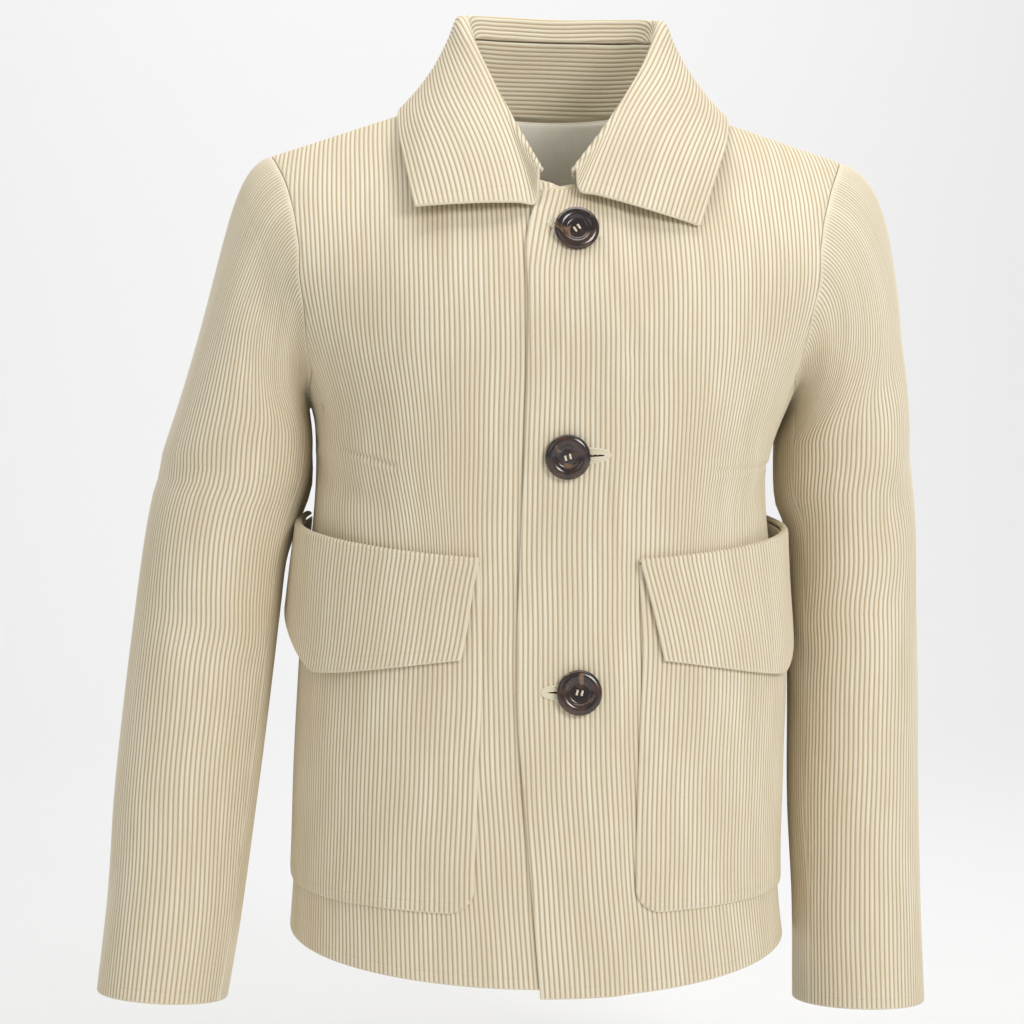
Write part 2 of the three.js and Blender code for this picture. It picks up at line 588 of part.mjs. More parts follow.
// The pocket's top folded over, from the fold down to its lower edge
function pocketCuff(side) {
  const flare = side > 0 ? 'flareLeft' : 'flareRight';
  const columns = spaced(POCKET_COLUMNS, (u) => {
    const fold = pocketFold(u);
    const lower = along(CUFF_EDGE, 'u', u, 'level');
    const hangAt = (level, cut = 0) => pocketHang(side, pocketAngle(side, u, level, cut), level);
    const bag = POCKET.cloth + hangAt(fold);
    const start = bag + CLOTH / 2;
    const stop = bag + CLOTH + POCKET.cuffClear;
    const radius = (stop + CLOTH / 2 - start) / 2;
    const places = [];
    for (const turn of [0, 45, 90, 135]) {
      places.push({
        level: fold + SEAM_GAP + CLOTH / 2 + radius * Math.sin(turn * RAD),
        out: start + radius * (1 - Math.cos(turn * RAD)),
        cut: 0,
        turn,
      });
    }
    for (const t of [0, 0.25, 0.5, 0.75, 1]) {
      const level = lerp(fold, lower, t);
      const cut = t * POCKET.cuffSlant;
      const hung = hangAt(level, cut) - hangAt(fold);
      const out = stop + CLOTH / 2 + hung + t * along(CUFF_EDGE, 'u', u, flare);
      places.push({ level, out, cut, turn: 180 });
    }
    return places.map(({ level, out, cut, turn }) => {
      const angle = pocketAngle(side, u, level, cut);
      const normal = bodyNormal(angle, level);
      const face = normal.clone().multiplyScalar(-Math.cos(turn * RAD)).setZ(Math.sin(turn * RAD)).normalize();
      const middle = onBody(angle, level, out);
      return {
        outer: middle.clone().addScaledVector(face, CLOTH / 2),
        inner: middle.clone().addScaledVector(face, -CLOTH / 2),
      };
    });
  });
  const face = (which) => columns[0].map((_, r) => columns.map((column) => column[r][which]));
  return wall(side > 0 ? 'pocket_cuff_left' : 'pocket_cuff_right', face('outer'), face('inner'), CREAM);
}

// Collar stations for both sides in one row, from the -X end round the back to the +X end
function collarStations() {
  const last = COLLAR.length - 1;
  const one = (side) => COLLAR.map((row, i) => {
    const station = { ...row, place: side * i, neckX: side * row.neckX + row.neckShift };
    for (const key of ['seamX', 'rollX', 'midX', 'edgeX']) station[key] = side * row[key] + row.shift;
    if (i === last) {
      const end = side > 0 ? FRONT_END.left : FRONT_END.right;
      station.drop += end.drop;
      station.edgeZ += end.edge;
    }
    return station;
  });
  const left = one(1);
  const right = one(-1);
  return [...right.slice(1).reverse(), ...left];
}

const STATIONS = collarStations();
const stationPoint = (at, name) => new THREE.Vector3(
  along(STATIONS, 'place', at, `${name}X`),
  along(STATIONS, 'place', at, `${name}Y`),
  along(STATIONS, 'place', at, `${name}Z`),
);

// Neck seam: half ellipses in the back and in the front
function neckPoint(at) {
  const x = along(STATIONS, 'place', at, 'neckX');
  const level = along(STATIONS, 'place', at, 'neckLevel');
  const atBack = Math.abs(at) <= 3;
  const angle = angleAt(atBack ? -0.01 : level, x);
  return onBody(atBack ? 180 - angle : angle, Math.min(level, 0), CLOTH / 2);
}

const COLLAR_STEPS = 25;
const collarPlaces = spaced(COLLAR_STEPS, (u) => lerp(-(COLLAR.length - 1), COLLAR.length - 1, u));

// Wall on an open grid of middle points
function sheet(name, rows, thickness, colour) {
  const lastRow = rows.length - 1;
  const lastCol = rows[0].length - 1;
  const face = (out) => rows.map((row, r) => row.map((p, i) => {
    const down = rows[Math.min(r + 1, lastRow)][i].clone().sub(rows[Math.max(r - 1, 0)][i]);
    const round = row[Math.min(i + 1, lastCol)].clone().sub(row[Math.max(i - 1, 0)]);
    return p.clone().addScaledVector(round.cross(down).normalize(), out);
  }));
  return wall(name, face(thickness / 2), face(-thickness / 2), colour);
}

function collarStand() {
  const rows = [0.02, 0.34, 0.66, 0.97].map((t) => collarPlaces.map((at) => {
    const low = neckPoint(at);
    low.z += STAND_LIFT.all + STAND_LIFT.atFront * Math.abs(at / (COLLAR.length - 1)) ** 4;
    const high = stationPoint(at, 'seam');
    return low.lerp(high, t);
  }));
  return sheet('collar_stand', rows, CLOTH, CREAM);
}

function collarFall() {
  const columns = collarPlaces.map((at) => {
    const seam = stationPoint(at, 'seam');
    const roll = stationPoint(at, 'roll');
    const mid = stationPoint(at, 'mid');
    const edge = stationPoint(at, 'edge');
    seam.z += SEAM_GAP + COLLAR_CLOTH / 2;
    const outward = mid.clone().sub(seam).setZ(0).normalize();
    const over = roll.clone().addScaledVector(outward, ROLL.out);
    over.z += ROLL.rise;
    const start = roll.clone().addScaledVector(outward, ROLL.width);
    start.z -= along(STATIONS, 'place', at, 'drop');
    const fall = new THREE.QuadraticBezierCurve3(start, mid, edge);
    return [seam, seam.clone().lerp(roll, 0.55), roll, over,
      ...[0, 0.16, 0.34, 0.56, 0.78, 1].map((t) => fall.getPoint(t))];
  });
  const rows = columns[0].map((_, r) => columns.map((column) => column[r]));
  return sheet('collar_fall', rows, COLLAR_CLOTH, CREAM);
}

// Closed geometry to a solid that can be cut, and back
function toSolid(geometry) {
  const bare = geometry.clone();
  bare.deleteAttribute('normal');
  bare.deleteAttribute('uv');
  const merged = mergeVertices(bare, 1e-4);
  return new wasm.Manifold(new wasm.Mesh({
    numProp: 3,
    vertProperties: new Float32Array(merged.attributes.position.array),
    triVerts: new Uint32Array(merged.index.array),
  }));
}
function fromSolid(solid) {
  const { vertProperties, triVerts } = solid.getMesh();
  const geometry = new THREE.BufferGeometry();
  geometry.setAttribute('position', new THREE.BufferAttribute(vertProperties, 3));
  geometry.setIndex(new THREE.BufferAttribute(triVerts, 1));
  return geometry;
}

// Button: rounded rim round a sunk centre with four holes
const BUTTON_PROFILE = [
  { r: 0, z: 0 }, { r: 11.6, z: 0 }, { r: 13.2, z: 1.1 }, { r: BUTTON_RADIUS, z: 2.5 }, { r: 12.6, z: 3.9 },
  { r: 10.2, z: 4.4 }, { r: 7.6, z: 3.9 }, { r: 6.2, z: 2.6 }, { r: 5.4, z: 2.3 }, { r: 0, z: 2.2 },
];
const HOLE = { radius: 1.0, from: 2.3 };
function buttonGeometry() {
  const profile = BUTTON_PROFILE.map(({ r, z }) => new THREE.Vector2(r, z));
  const disc = new THREE.LatheGeometry(profile, 24).rotateX(Math.PI / 2);
  const holes = [];
  for (const [sx, sy] of [[1, 1], [1, -1], [-1, 1], [-1, -1]]) {
    const hole = new THREE.CylinderGeometry(HOLE.radius, HOLE.radius, 8, 8).rotateX(Math.PI / 2);
    holes.push(hole.translate(sx * HOLE.from, sy * HOLE.from, 2));
  }
  return fromSolid(toSolid(facingOut(mergeVertices(disc))).subtract(toSolid(mergeGeometries(holes))));
}

function button({ name, x, level }) {
  const angle = angleAt(level, x);
  const material = new THREE.MeshStandardMaterial({ color: BUTTON_BROWN, roughness: 0.25, metalness: 0 });
  const mesh = new THREE.Mesh(buttonGeometry(), material);
  mesh.name = name;
  mesh.position.copy(onBody(angle, level, LAP.offset + CLOTH + BUTTON_SHANK));
  mesh.quaternion.setFromUnitVectors(new THREE.Vector3(0, 0, 1), bodyNormal(angle, level));
  return mesh;
}

const jacket = new THREE.Group();
jacket.add(front(1), front(-1), back(), backLining());
jacket.add(...sleeve(1, SLEEVE_LEFT, FOLDS_LEFT), ...sleeve(-1, SLEEVE_RIGHT, FOLDS_RIGHT));
jacket.add(collarStand(), collarFall());
for (const side of [1, -1]) jacket.add(pocket(side), pocketCuff(side));
for (const place of BUTTONS) jacket.add(button(place));

export default jacket;
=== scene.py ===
"""Short corduroy jacket, worn and hollow: cloth with raised cords, seams, collar, pockets and buttons."""
import math

import bmesh
import bpy
import numpy as np
from mathutils import Matrix, Vector


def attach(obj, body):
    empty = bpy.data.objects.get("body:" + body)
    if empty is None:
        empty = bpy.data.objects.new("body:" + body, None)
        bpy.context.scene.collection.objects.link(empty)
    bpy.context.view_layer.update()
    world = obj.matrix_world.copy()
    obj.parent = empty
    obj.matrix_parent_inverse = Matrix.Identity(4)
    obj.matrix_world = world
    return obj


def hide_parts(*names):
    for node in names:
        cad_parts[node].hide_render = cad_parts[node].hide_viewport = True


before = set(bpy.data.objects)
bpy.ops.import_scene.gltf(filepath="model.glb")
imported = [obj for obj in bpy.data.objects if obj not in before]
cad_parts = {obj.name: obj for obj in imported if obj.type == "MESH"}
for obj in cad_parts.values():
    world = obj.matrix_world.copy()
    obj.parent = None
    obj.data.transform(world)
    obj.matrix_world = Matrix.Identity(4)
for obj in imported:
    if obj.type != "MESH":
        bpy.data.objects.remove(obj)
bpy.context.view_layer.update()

bl_info = {
    "name": "Corduroy jacket",
    "version": (1, 0, 0),
    "blender": (4, 5, 0),
    "location": "View3D > Sidebar > Jacket",
    "description": "Builds the cloth, collar, pockets and buttons of a short corduroy jacket",
    "category": "Add Mesh",
}

MM = 0.001

# Cut of the jacket, in millimetres
CLOTH = 1.8
COLLAR_CLOTH = 2.4
LINING_CLOTH = 1.0
LINING_GAP = 0.8
SEAM_GAP = 0.3
SLEEVE_GAP = 0.35
NECK_HALF = 70
NECK_DROP = 66
SLOPE_LEFT = 0.315
SLOPE_RIGHT = 0.345
SLOPE_FADE = 200
RIDGE_Y = 5
RIDGE_RADIUS = 20
RIDGE_REACH = 165
ARMPIT = -200
HEM_SIDE = -533
HEM_DROP = {"lapping": 22, "under": 17, "back": 6}
SQUARENESS = 2.5
SIDE_SEAM = 96
SIDE_RADIUS = 150
SEAM_ANGLE = math.degrees(SEAM_GAP / 2 / SIDE_RADIUS)
NECK_RISE = 75
NECK_RISE_FADE = 60
BUST_X = 86
BUST_LEVEL = -218
BUST_HEIGHT = 7
BUST_RADIUS = 55
UNDERLAP_X = 12
LAP_OFFSET = 2.6
LAP_FLAT_TO = 22
LAP_ENDS_AT = 35


def table(names, *rows):
    """Named columns of a short table, the first of which is its key and rises."""
    return dict(zip(names.split(), np.array(rows, float).T))


# Half width, depth to front and back, and sway to the side at each level of the body
GIRTH = table(
    "level half front back sway",
    (-560, 159.5, 128, 122, -11), (-500, 154, 128, 121, -12.5), (-425, 153.5, 127, 117, -11),
    (-350, 152.5, 124, 109, -8.5), (-300, 147.5, 121, 103, -10.5), (-258, 143.5, 121, 101, -11),
    (-225, 145, 125, 105, -9), (-200, 151, 127, 110, -6), (-170, 166, 128, 113, -6.5),
    (-140, 189, 128, 113, -6.5), (-110, 221, 128, 112, -5.5), (-80, 247, 128, 111, -4.5),
    (-40, 272, 128, 109, -2), (0, 285, 128, 107, 0),
)

# Angle round the body at which each level meets the armhole, on the front and on the back
ARMHOLE = table(
    "level front back",
    (-200, 96, 96), (-197.5, 87, 99.5), (-192, 78, 103), (-183, 69, 107.5), (-167, 60.5, 113.5),
    (-145, 52.3, 122.5), (-122, 45.6, 131), (-99, 40.6, 136.5), (-80, 38.4, 139.5), (-66, 37.4, 141),
    (-46.7, 36.7, 142), (-33, 36.6, 142.3), (-17, 37, 142.4), (0, 37.5, 142.5),
)

# Edge of the lapping front
FRONT_EDGE = table(
    "level x",
    (-560, -21), (-467, -29), (-378, -36), (-260, -33.5), (-140, -31), (-108, -31.5), (-85, -26.5), (-66, -18),
)

# Line that the cords of each front run beside
GRAIN = table("level x", (-560, 12), (-467, 5), (-378, 1), (-260, 0), (-140, 0), (0, 0))

# Folds: angle and level of both ends, depth inward and half width
BODY_FOLDS = (
    (-44, -262, -78, -236, 2.4, 10), (46, -266, 80, -232, 2.2, 11), (-62, -150, -70, -215, 2.0, 9),
    (60, -150, 70, -212, 1.8, 9), (-26, -86, -40, -160, 1.6, 13), (27, -92, 42, -168, 1.4, 12),
    (150, -262, 104, -238, 2.6, 12), (-148, -270, -106, -246, 2.2, 13), (172, -300, 128, -286, 1.6, 11),
)
FOLDS_LEFT = (
    (150, -150, 60, -232, 4.0, 13), (165, -222, 70, -300, 3.4, 14), (110, -318, 40, -352, 2.6, 12),
    (215, -190, 285, -262, 3.2, 13), (230, -300, 300, -334, 2.8, 12),
)
FOLDS_RIGHT = (
    (128, -100, 58, -190, 4.2, 12), (96, -170, 52, -204, 3.6, 9), (140, -250, 62, -222, 3.0, 12),
    (120, -330, 48, -362, 3.0, 12), (210, -180, 290, -252, 3.4, 13), (225, -310, 300, -340, 2.6, 12),
    (338, -228, 342, -285, -5, 10),
)

# Sleeve rings: centre, and half size across and from front to back
SLEEVE_LEFT = table(
    "level x y across deep",
    (-576, 192.5, -38, 40.5, 50), (-513, 192.5, -30, 39.5, 51), (-450, 192, -21, 40.5, 53),
    (-387, 193.5, -12, 40.5, 55), (-323, 194, -5, 40, 58), (-290, 194, -3, 40, 60),
    (-270, 193, -2, 40.5, 61), (-256, 190, -1, 43, 62), (-240, 189, 0, 43.5, 64), (-215, 188.5, 2, 42.5, 66),
)
SLEEVE_RIGHT = table(
    "level x y across deep",
    (-568, -249, -38, 39.5, 50), (-513, -242, -30, 41, 51), (-450, -236.5, -21, 43.5, 53),
    (-387, -230, -12, 44.5, 55), (-323, -223, -5, 44.5, 58), (-290, -219, -3, 44, 60),
    (-266, -214, -2, 44.5, 61), (-254, -210.5, -1, 44.5, 62), (-240, -207, 0, 46, 64), (-215, -202.4, 2, 44, 66),
)
LEAN_STEP = 45
BICEP = -222
FRONT_PITCH = -192
BACK_PITCH = -167
SLEEVE_RADIUS = 48
SLEEVE_TURN = 1.6
CAP_LIFT = {1: 0.19, -1: 0.14}
CAP_START = 3
CAP_FULLNESS = 0.62

POCKET_INNER_X = 47.5
POCKET_CORNER = 16
POCKET_END = 95
POCKET_OFF = CLOTH + 0.6
POCKET_BOTTOM = (-505, -498)
POCKET_FOLD = (-297, -270)
POCKET_HANG_HALF = 152.5
POCKET_HANGS_FROM = 0.25
POCKET_BEND = 1.3
CUFF_CLEAR = 1.6
CUFF_SLANT = 12
CUFF_EDGE = table(
    "u level left right",
    (0, -355, 0, 0), (0.5, -366, 1, 3), (0.62, -357, 1.5, 5), (0.75, -342, 1.5, 7), (0.87, -330, 1, 7),
    (1, -322, 1, 5),
)

# Collar from the centre back to the front end: neck, seam, roll, middle and edge of the fall
COLLAR = table(
    "place neckX neckLevel neckShift seamX seamY seamZ rollX rollY rollZ midX midY midZ edgeX edgeY edgeZ shift drop",
    (0, 0, 0, 0, 0, 67, 52, 0, 70, 67, 0, 86, 32, 0, 93, -12, 5, 0),
    (1, 38, 0, 0, 36, 60, 51, 39, 63, 66.5, 48, 78, 31, 53, 82, -13, 5, 0),
    (2, 61, 0, 0, 56, 38, 47, 60, 41, 62, 76, 50, 26, 90, 50, -14, 4.5, 0),
    (3, 70, 0, 0, 59, 8, 38, 62.5, 9, 52, 84, 9, 16, 106, 2, -7, 3, 0),
    (4, 61, -33, -1, 49, -31, 6, 51, -34, 18, 80, -38, 1, 104, -42, -30, -1, 0),
    (5, 38, -55, -6, 31, -64, -30, 31, -70, -22, 62, -85, -30, 96, -79, -57, -6, 1),
    (6, 10, -66, -10, 10, -88, -60.5, 9, -96.5, -58.5, 44, -115, -80, 87, -103, -87, -11, 16.5),
)
COLLAR_END = 6
END_DROP = {1: -4, -1: 4}
END_EDGE = {1: -4.5, -1: 4.5}
STAND_LIFT = (1.6, 3.2)
ROLL_OUT = 2.6
ROLL_RISE = 1.2
ROLL_WIDTH = 5.4
COLLAR_SEAM = 0.8

# Button places, the turn of their holes, and the ends of their buttonholes to either side
BUTTONS = (
    {"name": "button_top", "x": -1, "level": -97.5, "turn": 38, "hole": (-16.5, 14.5), "tilt": -12,
     "lower": 2.5, "proud": 2.2, "upright": 0.55},
    {"name": "button_middle", "x": -7, "level": -232.5, "turn": 22, "hole": (-6, 25), "tilt": 3,
     "lower": 0, "proud": 0.2, "upright": 0},
    {"name": "button_bottom", "x": 0.5, "level": -373.5, "turn": -8, "hole": (-22, 8), "tilt": 0,
     "lower": 0, "proud": 0.2, "upright": 0},
)
BUTTON_SHANK = 0.7


def smooth(x, low, high):
    t = np.clip((x - low) / (high - low), 0, 1)
    return t * t * (3 - 2 * t)


def mix(a, b, t):
    return a + (b - a) * t


def unit(vectors):
    return vectors / np.maximum(np.linalg.norm(vectors, axis=-1, keepdims=True), 1e-9)


def points(x, y, z):
    return np.stack(np.broadcast_arrays(x, y, z), -1)


def along(rows, at, column):
    """One column of a table at any key, as a smooth curve through its rows."""
    keys = next(iter(rows.values()))
    values = rows[column]
    slopes = (np.append(values[1:], values[-1]) - np.insert(values[:-1], 0, values[0])) / (
        np.append(keys[1:], keys[-1]) - np.insert(keys[:-1], 0, keys[0]))
    at = np.asarray(at, float)
    i = np.clip(np.searchsorted(keys, at, side="right") - 1, 0, len(keys) - 2)
    span = keys[i + 1] - keys[i]
    t = np.clip((at - keys[i]) / span, 0, 1)
    t2, t3 = t * t, t * t * t
    return ((2 * t3 - 3 * t2 + 1) * values[i] + (t3 - 2 * t2 + t) * span * slopes[i]
            + (3 * t2 - 2 * t3) * values[i + 1] + (t3 - t2) * span * slopes[i + 1])


def fold_depth(folds, angle, level, across):
    """Depth of the folds at each place, where across turns degrees into millimetres."""
    depth = 0
    for angle1, level1, angle2, level2, deep, width in folds:
        dx, dz = (angle2 - angle1) * across, level2 - level1
        px, pz = (angle - angle1) * across, level - level1
        t = np.clip((px * dx + pz * dz) / (dx * dx + dz * dz), 0, 1)
        away = np.hypot(px - t * dx, pz - t * dz) / width
        depth = depth + deep * np.exp(-away * away) * (0.45 + 0.55 * np.sin(math.pi * t))
    return depth


def ridge_growth(drop):
    """How far the body has grown below the shoulder ridge, from 0 to 1."""
    d = np.clip(drop, 0, RIDGE_REACH)
    whole = math.sqrt(RIDGE_REACH ** 2 + 2 * RIDGE_RADIUS * RIDGE_REACH)
    return np.sin(math.pi / 2 * np.sqrt(d * d + 2 * RIDGE_RADIUS * d) / whole)


def angle_at(level, x):
    """Angle round the body at which a level reaches x."""
    away = x - along(GIRTH, level, "sway")
    q = np.minimum(np.abs(away) / along(GIRTH, level, "half"), 0.9999) ** SQUARENESS
    return np.sign(away) * np.degrees(np.arctan((q / (1 - q)) ** (1 / SQUARENESS)))


def body(angle, level):
    """The body's surface. Angle 0 is the centre front, 90 the +X side and 180 the centre back."""
    angle, level = np.broadcast_arrays(np.asarray(angle, float), np.asarray(level, float))
    sin, cos = np.sin(np.radians(angle)), np.cos(np.radians(angle))
    square = (np.abs(sin) ** SQUARENESS + np.abs(cos) ** SQUARENESS) ** (1 / SQUARENESS)
    half = along(GIRTH, level, "half")
    x = half * sin / square
    beyond = np.maximum(0, np.abs(x) - NECK_HALF)
    slope = np.where(x > 0, SLOPE_LEFT, SLOPE_RIGHT)
    tilt = slope * np.clip(1 + level / SLOPE_FADE, 0, 1) ** 2
    z = level - tilt * beyond
    rise = NECK_RISE * (1 - (x / NECK_HALF) ** 2) * np.exp(level / NECK_RISE_FADE)
    drop = -level - (slope - tilt) * beyond + np.where((cos < 0) & (np.abs(x) < NECK_HALF), rise, 0)
    reach = np.where(cos > 0, along(GIRTH, level, "front") + RIDGE_Y, along(GIRTH, level, "back") - RIDGE_Y)
    bust = np.where(cos > 0, BUST_HEIGHT * np.exp(
        -((np.abs(x) - BUST_X) / BUST_RADIUS) ** 2 - ((level - BUST_LEVEL) / BUST_RADIUS) ** 2), 0)
    fold = fold_depth(BODY_FOLDS, angle, level, np.radians(half))
    out = (reach * ridge_growth(drop) + bust - fold) * (-cos / square)
    aside = -fold * (sin / square) * smooth(-level, 100, 200)
    return points(x + aside + along(GIRTH, level, "sway"), RIDGE_Y + out, z)


def on_body(angle, level, out):
    """Places at a distance out from the body's surface, in millimetres."""
    angle, level = np.broadcast_arrays(np.asarray(angle, float), np.asarray(level, float))
    step = 0.02
    down, top = level - 0.1 * step, np.minimum(level + step, 0)
    round_it = body(angle + step, down) - body(angle - step, down)
    up_it = body(angle, top) - body(angle, top - 2 * step)
    return body(angle, level) + unit(np.cross(round_it, up_it)) * np.asarray(out, float)[..., None]


def hem_level(angle, drop):
    cos = np.cos(np.radians(angle))
    return HEM_SIDE - np.where(cos > 0, drop, HEM_DROP["back"]) * cos * cos


def spread(*stretches):
    """Places along a length: each stretch gives its end and the step up to it."""
    places = [0.0]
    for end, step in stretches:
        count = max(1, round((end - places[-1]) / step))
        places += list(np.linspace(places[-1], end, count + 1)[1:])
    return np.array(places)


EDGE_STEPS = ((0.4, 0.4), (1.2, 0.8), (2.4, 1.2))


def half_wave(count):
    """Levels from the armpit to the shoulder, close together at both ends."""
    return ARMPIT * (1 + np.cos(math.pi * np.arange(1, count + 1) / count)) / 2


# Cloth made of raised cords

FINE = 300


class Cord:
    """Size of the cords of the cloth, in millimetres."""
    pitch = 3.0
    height = 0.6
    steps = 4
    roundness = 0.75
    waver = 0.45
    drawn = 30


def lengths_along(grid):
    return np.concatenate((np.zeros((len(grid), 1)), np.cumsum(
        np.linalg.norm(np.diff(grid, axis=1), axis=2), axis=1)), axis=1)


def resample(grid, run, at):
    """A grid's rows at other distances along them."""
    return np.stack([np.stack([np.interp(a, r, row[:, k]) for k in range(3)], -1)
                     for row, r, a in zip(grid, run, at)])


def waviness(s, t):
    return 0.6 * np.sin(t / 23 + s / 31) + 0.4 * np.sin(t / 11 - s / 17)


def cloth_piece(name, grid, starts, sign, finishes, cloth=CLOTH, corded=True, sunk=0.0, relief=None, spacing=4.0,
                lean=None):
    """A walled piece of cloth on rows of middle points. The cords run from row to row.

    starts gives each row's place across the cords at its first point, and lean how far the cords
    are drawn aside at places across and along them. sign turns the outer face.
    """
    normal = sign * unit(np.cross(np.gradient(grid, axis=1), np.gradient(grid, axis=0)))
    run = lengths_along(grid) + np.asarray(starts)[:, None]
    low, high = run[:, :1], run[:, -1:]
    rise = np.linalg.norm(np.diff(grid, axis=0), axis=2).min(axis=1)
    t = np.concatenate(([0], np.cumsum(rise)))[:, None]
    step = Cord.pitch / Cord.steps if corded else spacing
    spare = Cord.drawn if lean is not None else 0
    number = np.arange(math.floor((low.min() - spare) / step), math.ceil((high.max() + spare) / step) + 1)
    at = number * step + (Cord.waver * waviness(number * step, t) if corded else 0)
    if lean is not None:
        at = at + lean(number * step, t)
    at = np.clip(at, low, high)
    middle = resample(grid, run, at)
    out = unit(resample(normal, run, at))

    def across(side):
        slant = np.gradient(side[:, 0]) / np.maximum(np.gradient(t[:, 0]), 1e-6)
        return 1 / np.sqrt(1 + slant[:, None] ** 2)

    edge = np.minimum.reduce(np.broadcast_arrays(
        (at - low) * across(low), (high - at) * across(high), t - t[0], t[-1] - t))
    rounded = np.sqrt(1 - (1 - np.clip(edge / (0.7 * cloth), 0, 1)) ** 2)
    wall = cloth / 2 * (0.3 + 0.7 * rounded)
    cord = np.abs(np.sin(math.pi * number * step / Cord.pitch)) ** Cord.roundness if corded else np.ones(len(number))
    cord = mix(0.75, cord[None, :], smooth(edge, 0, 1.4))
    if relief is not None:
        middle = middle + out * relief(middle, at, t)[..., None]
    if sunk:
        middle = middle - out * (sunk * np.exp(-(edge / 3) ** 2))[..., None]
    outer = middle + out * (wall - (Cord.height if corded else 0) * (1 - cord))[..., None]
    inner = middle - out * wall[..., None]
    weave = np.stack(np.broadcast_arrays(at, t, cord), -1)
    rows, columns = at.shape
    mesh = wall_mesh(name, outer.reshape(-1, 3) * MM, inner.reshape(-1, 3) * MM, rows, columns)
    add_weave(mesh, weave.reshape(-1, 3), edge.reshape(-1))
    piece = bpy.data.objects.new(name, mesh)
    bpy.context.scene.collection.objects.link(piece)
    for finish in finishes:
        mesh.materials.append(finish)
    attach(piece, "root")
    area = np.linalg.norm(np.cross(grid[1:, 1:] - grid[:-1, :-1], grid[1:, :-1] - grid[:-1, 1:]), axis=2).sum() / 2
    width = float((high - low).max()) * MM
    length = max(float(t[-1, 0]) * MM, area * MM * MM / width)
    return piece, {"flat": (width, length), "area": float(area) * MM * MM}


def wall_mesh(name, outer, inner, rows, columns):
    """Closed wall: the inner face is a grid, and its copy, pushed out from it, the outer one."""
    bm = bmesh.new()
    bmesh.ops.create_grid(bm, x_segments=columns - 1, y_segments=rows - 1, size=1)
    place = bm.verts.layers.int.new("place")
    for vert in bm.verts:
        column = round((vert.co.x + 1) / 2 * (columns - 1))
        row = round((vert.co.y + 1) / 2 * (rows - 1))
        vert[place] = row * columns + column
        vert.co = inner[vert[place]]
    bmesh.ops.remove_doubles(bm, verts=bm.verts[:], dist=2e-6)
    inside = bm.faces[:]
    for face in inside:
        face.material_index = 1
    grown = bmesh.ops.extrude_face_region(bm, geom=inside, use_keep_orig=True)
    for vert in (part for part in grown["geom"] if isinstance(part, bmesh.types.BMVert)):
        vert.co = outer[vert[place]]
    kept = set(inside)
    for face in bm.faces:
        face.smooth = True
        if face not in kept:
            face.material_index = 0
    bmesh.ops.recalc_face_normals(bm, faces=bm.faces[:])
    mesh = bpy.data.meshes.new(name)
    bm.to_mesh(mesh)
    bm.free()
    return mesh


def add_weave(mesh, weave, edge):
    """Place across and along the cords and the cord's height, and the distance to the piece's edge."""
    place = np.empty(len(mesh.vertices), np.int32)
    mesh.attributes["place"].data.foreach_get("value", place)
    mesh.attributes.remove(mesh.attributes["place"])
    attribute = mesh.attributes.new("weave", "FLOAT_VECTOR", "POINT")
    attribute.data.foreach_set("vector", weave[place].astype(np.float32).ravel())
    attribute = mesh.attributes.new("edge", "FLOAT", "POINT")
    attribute.data.foreach_set("value", edge[place].astype(np.float32))


def declare(node):
    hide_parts(node)


# Body

DART_ROWS = (333 - 47, 333 - 18)


# Creases of the lapping front round the top button: both ends seen from the front, depth and width
LAP_CREASES = [
    ((0, -75), (-18, -88), 1.6, 1.6), ((-20, -88), (-25, -108), 1.1, 1.6), ((-15, -90), (-19, -110), 0.8, 1.5),
    ((14, -112), (30, -170), 0.7, 4), ((-12, -116), (-20, -165), 0.7, 4), ((-26, -246), (-30, -300), 0.6, 4),
    ((14, -246), (26, -300), 0.6, 4), ((16, -222), (40, -190), 0.6, 4),
]


def groove(middle, start, end, depth, width):
    """A line pressed into the front's cloth between two places seen from the front."""
    dx, dz = end[0] - start[0], end[1] - start[1]
    px, pz = middle[..., 0] - start[0], middle[..., 2] - start[1]
    t = np.clip((px * dx + pz * dz) / (dx * dx + dz * dz), 0, 1)
    away = np.hypot(px - t * dx, pz - t * dz) / width
    line = -depth * np.exp(-away ** 2) + 0.45 * depth * np.exp(-((away - 3) / 2) ** 2)
    return np.where(middle[..., 1] < 0, line, 0)


def body_rows(rows_above, drop, below):
    """Depths up from the hem, and levels above the armpit."""
    whole = ARMPIT - HEM_SIDE
    rows = [("hem", 1 - up / whole) for up in below if up < whole - 0.1]
    return rows + [("level", level) for level in np.concatenate(([ARMPIT], half_wave(rows_above)))]


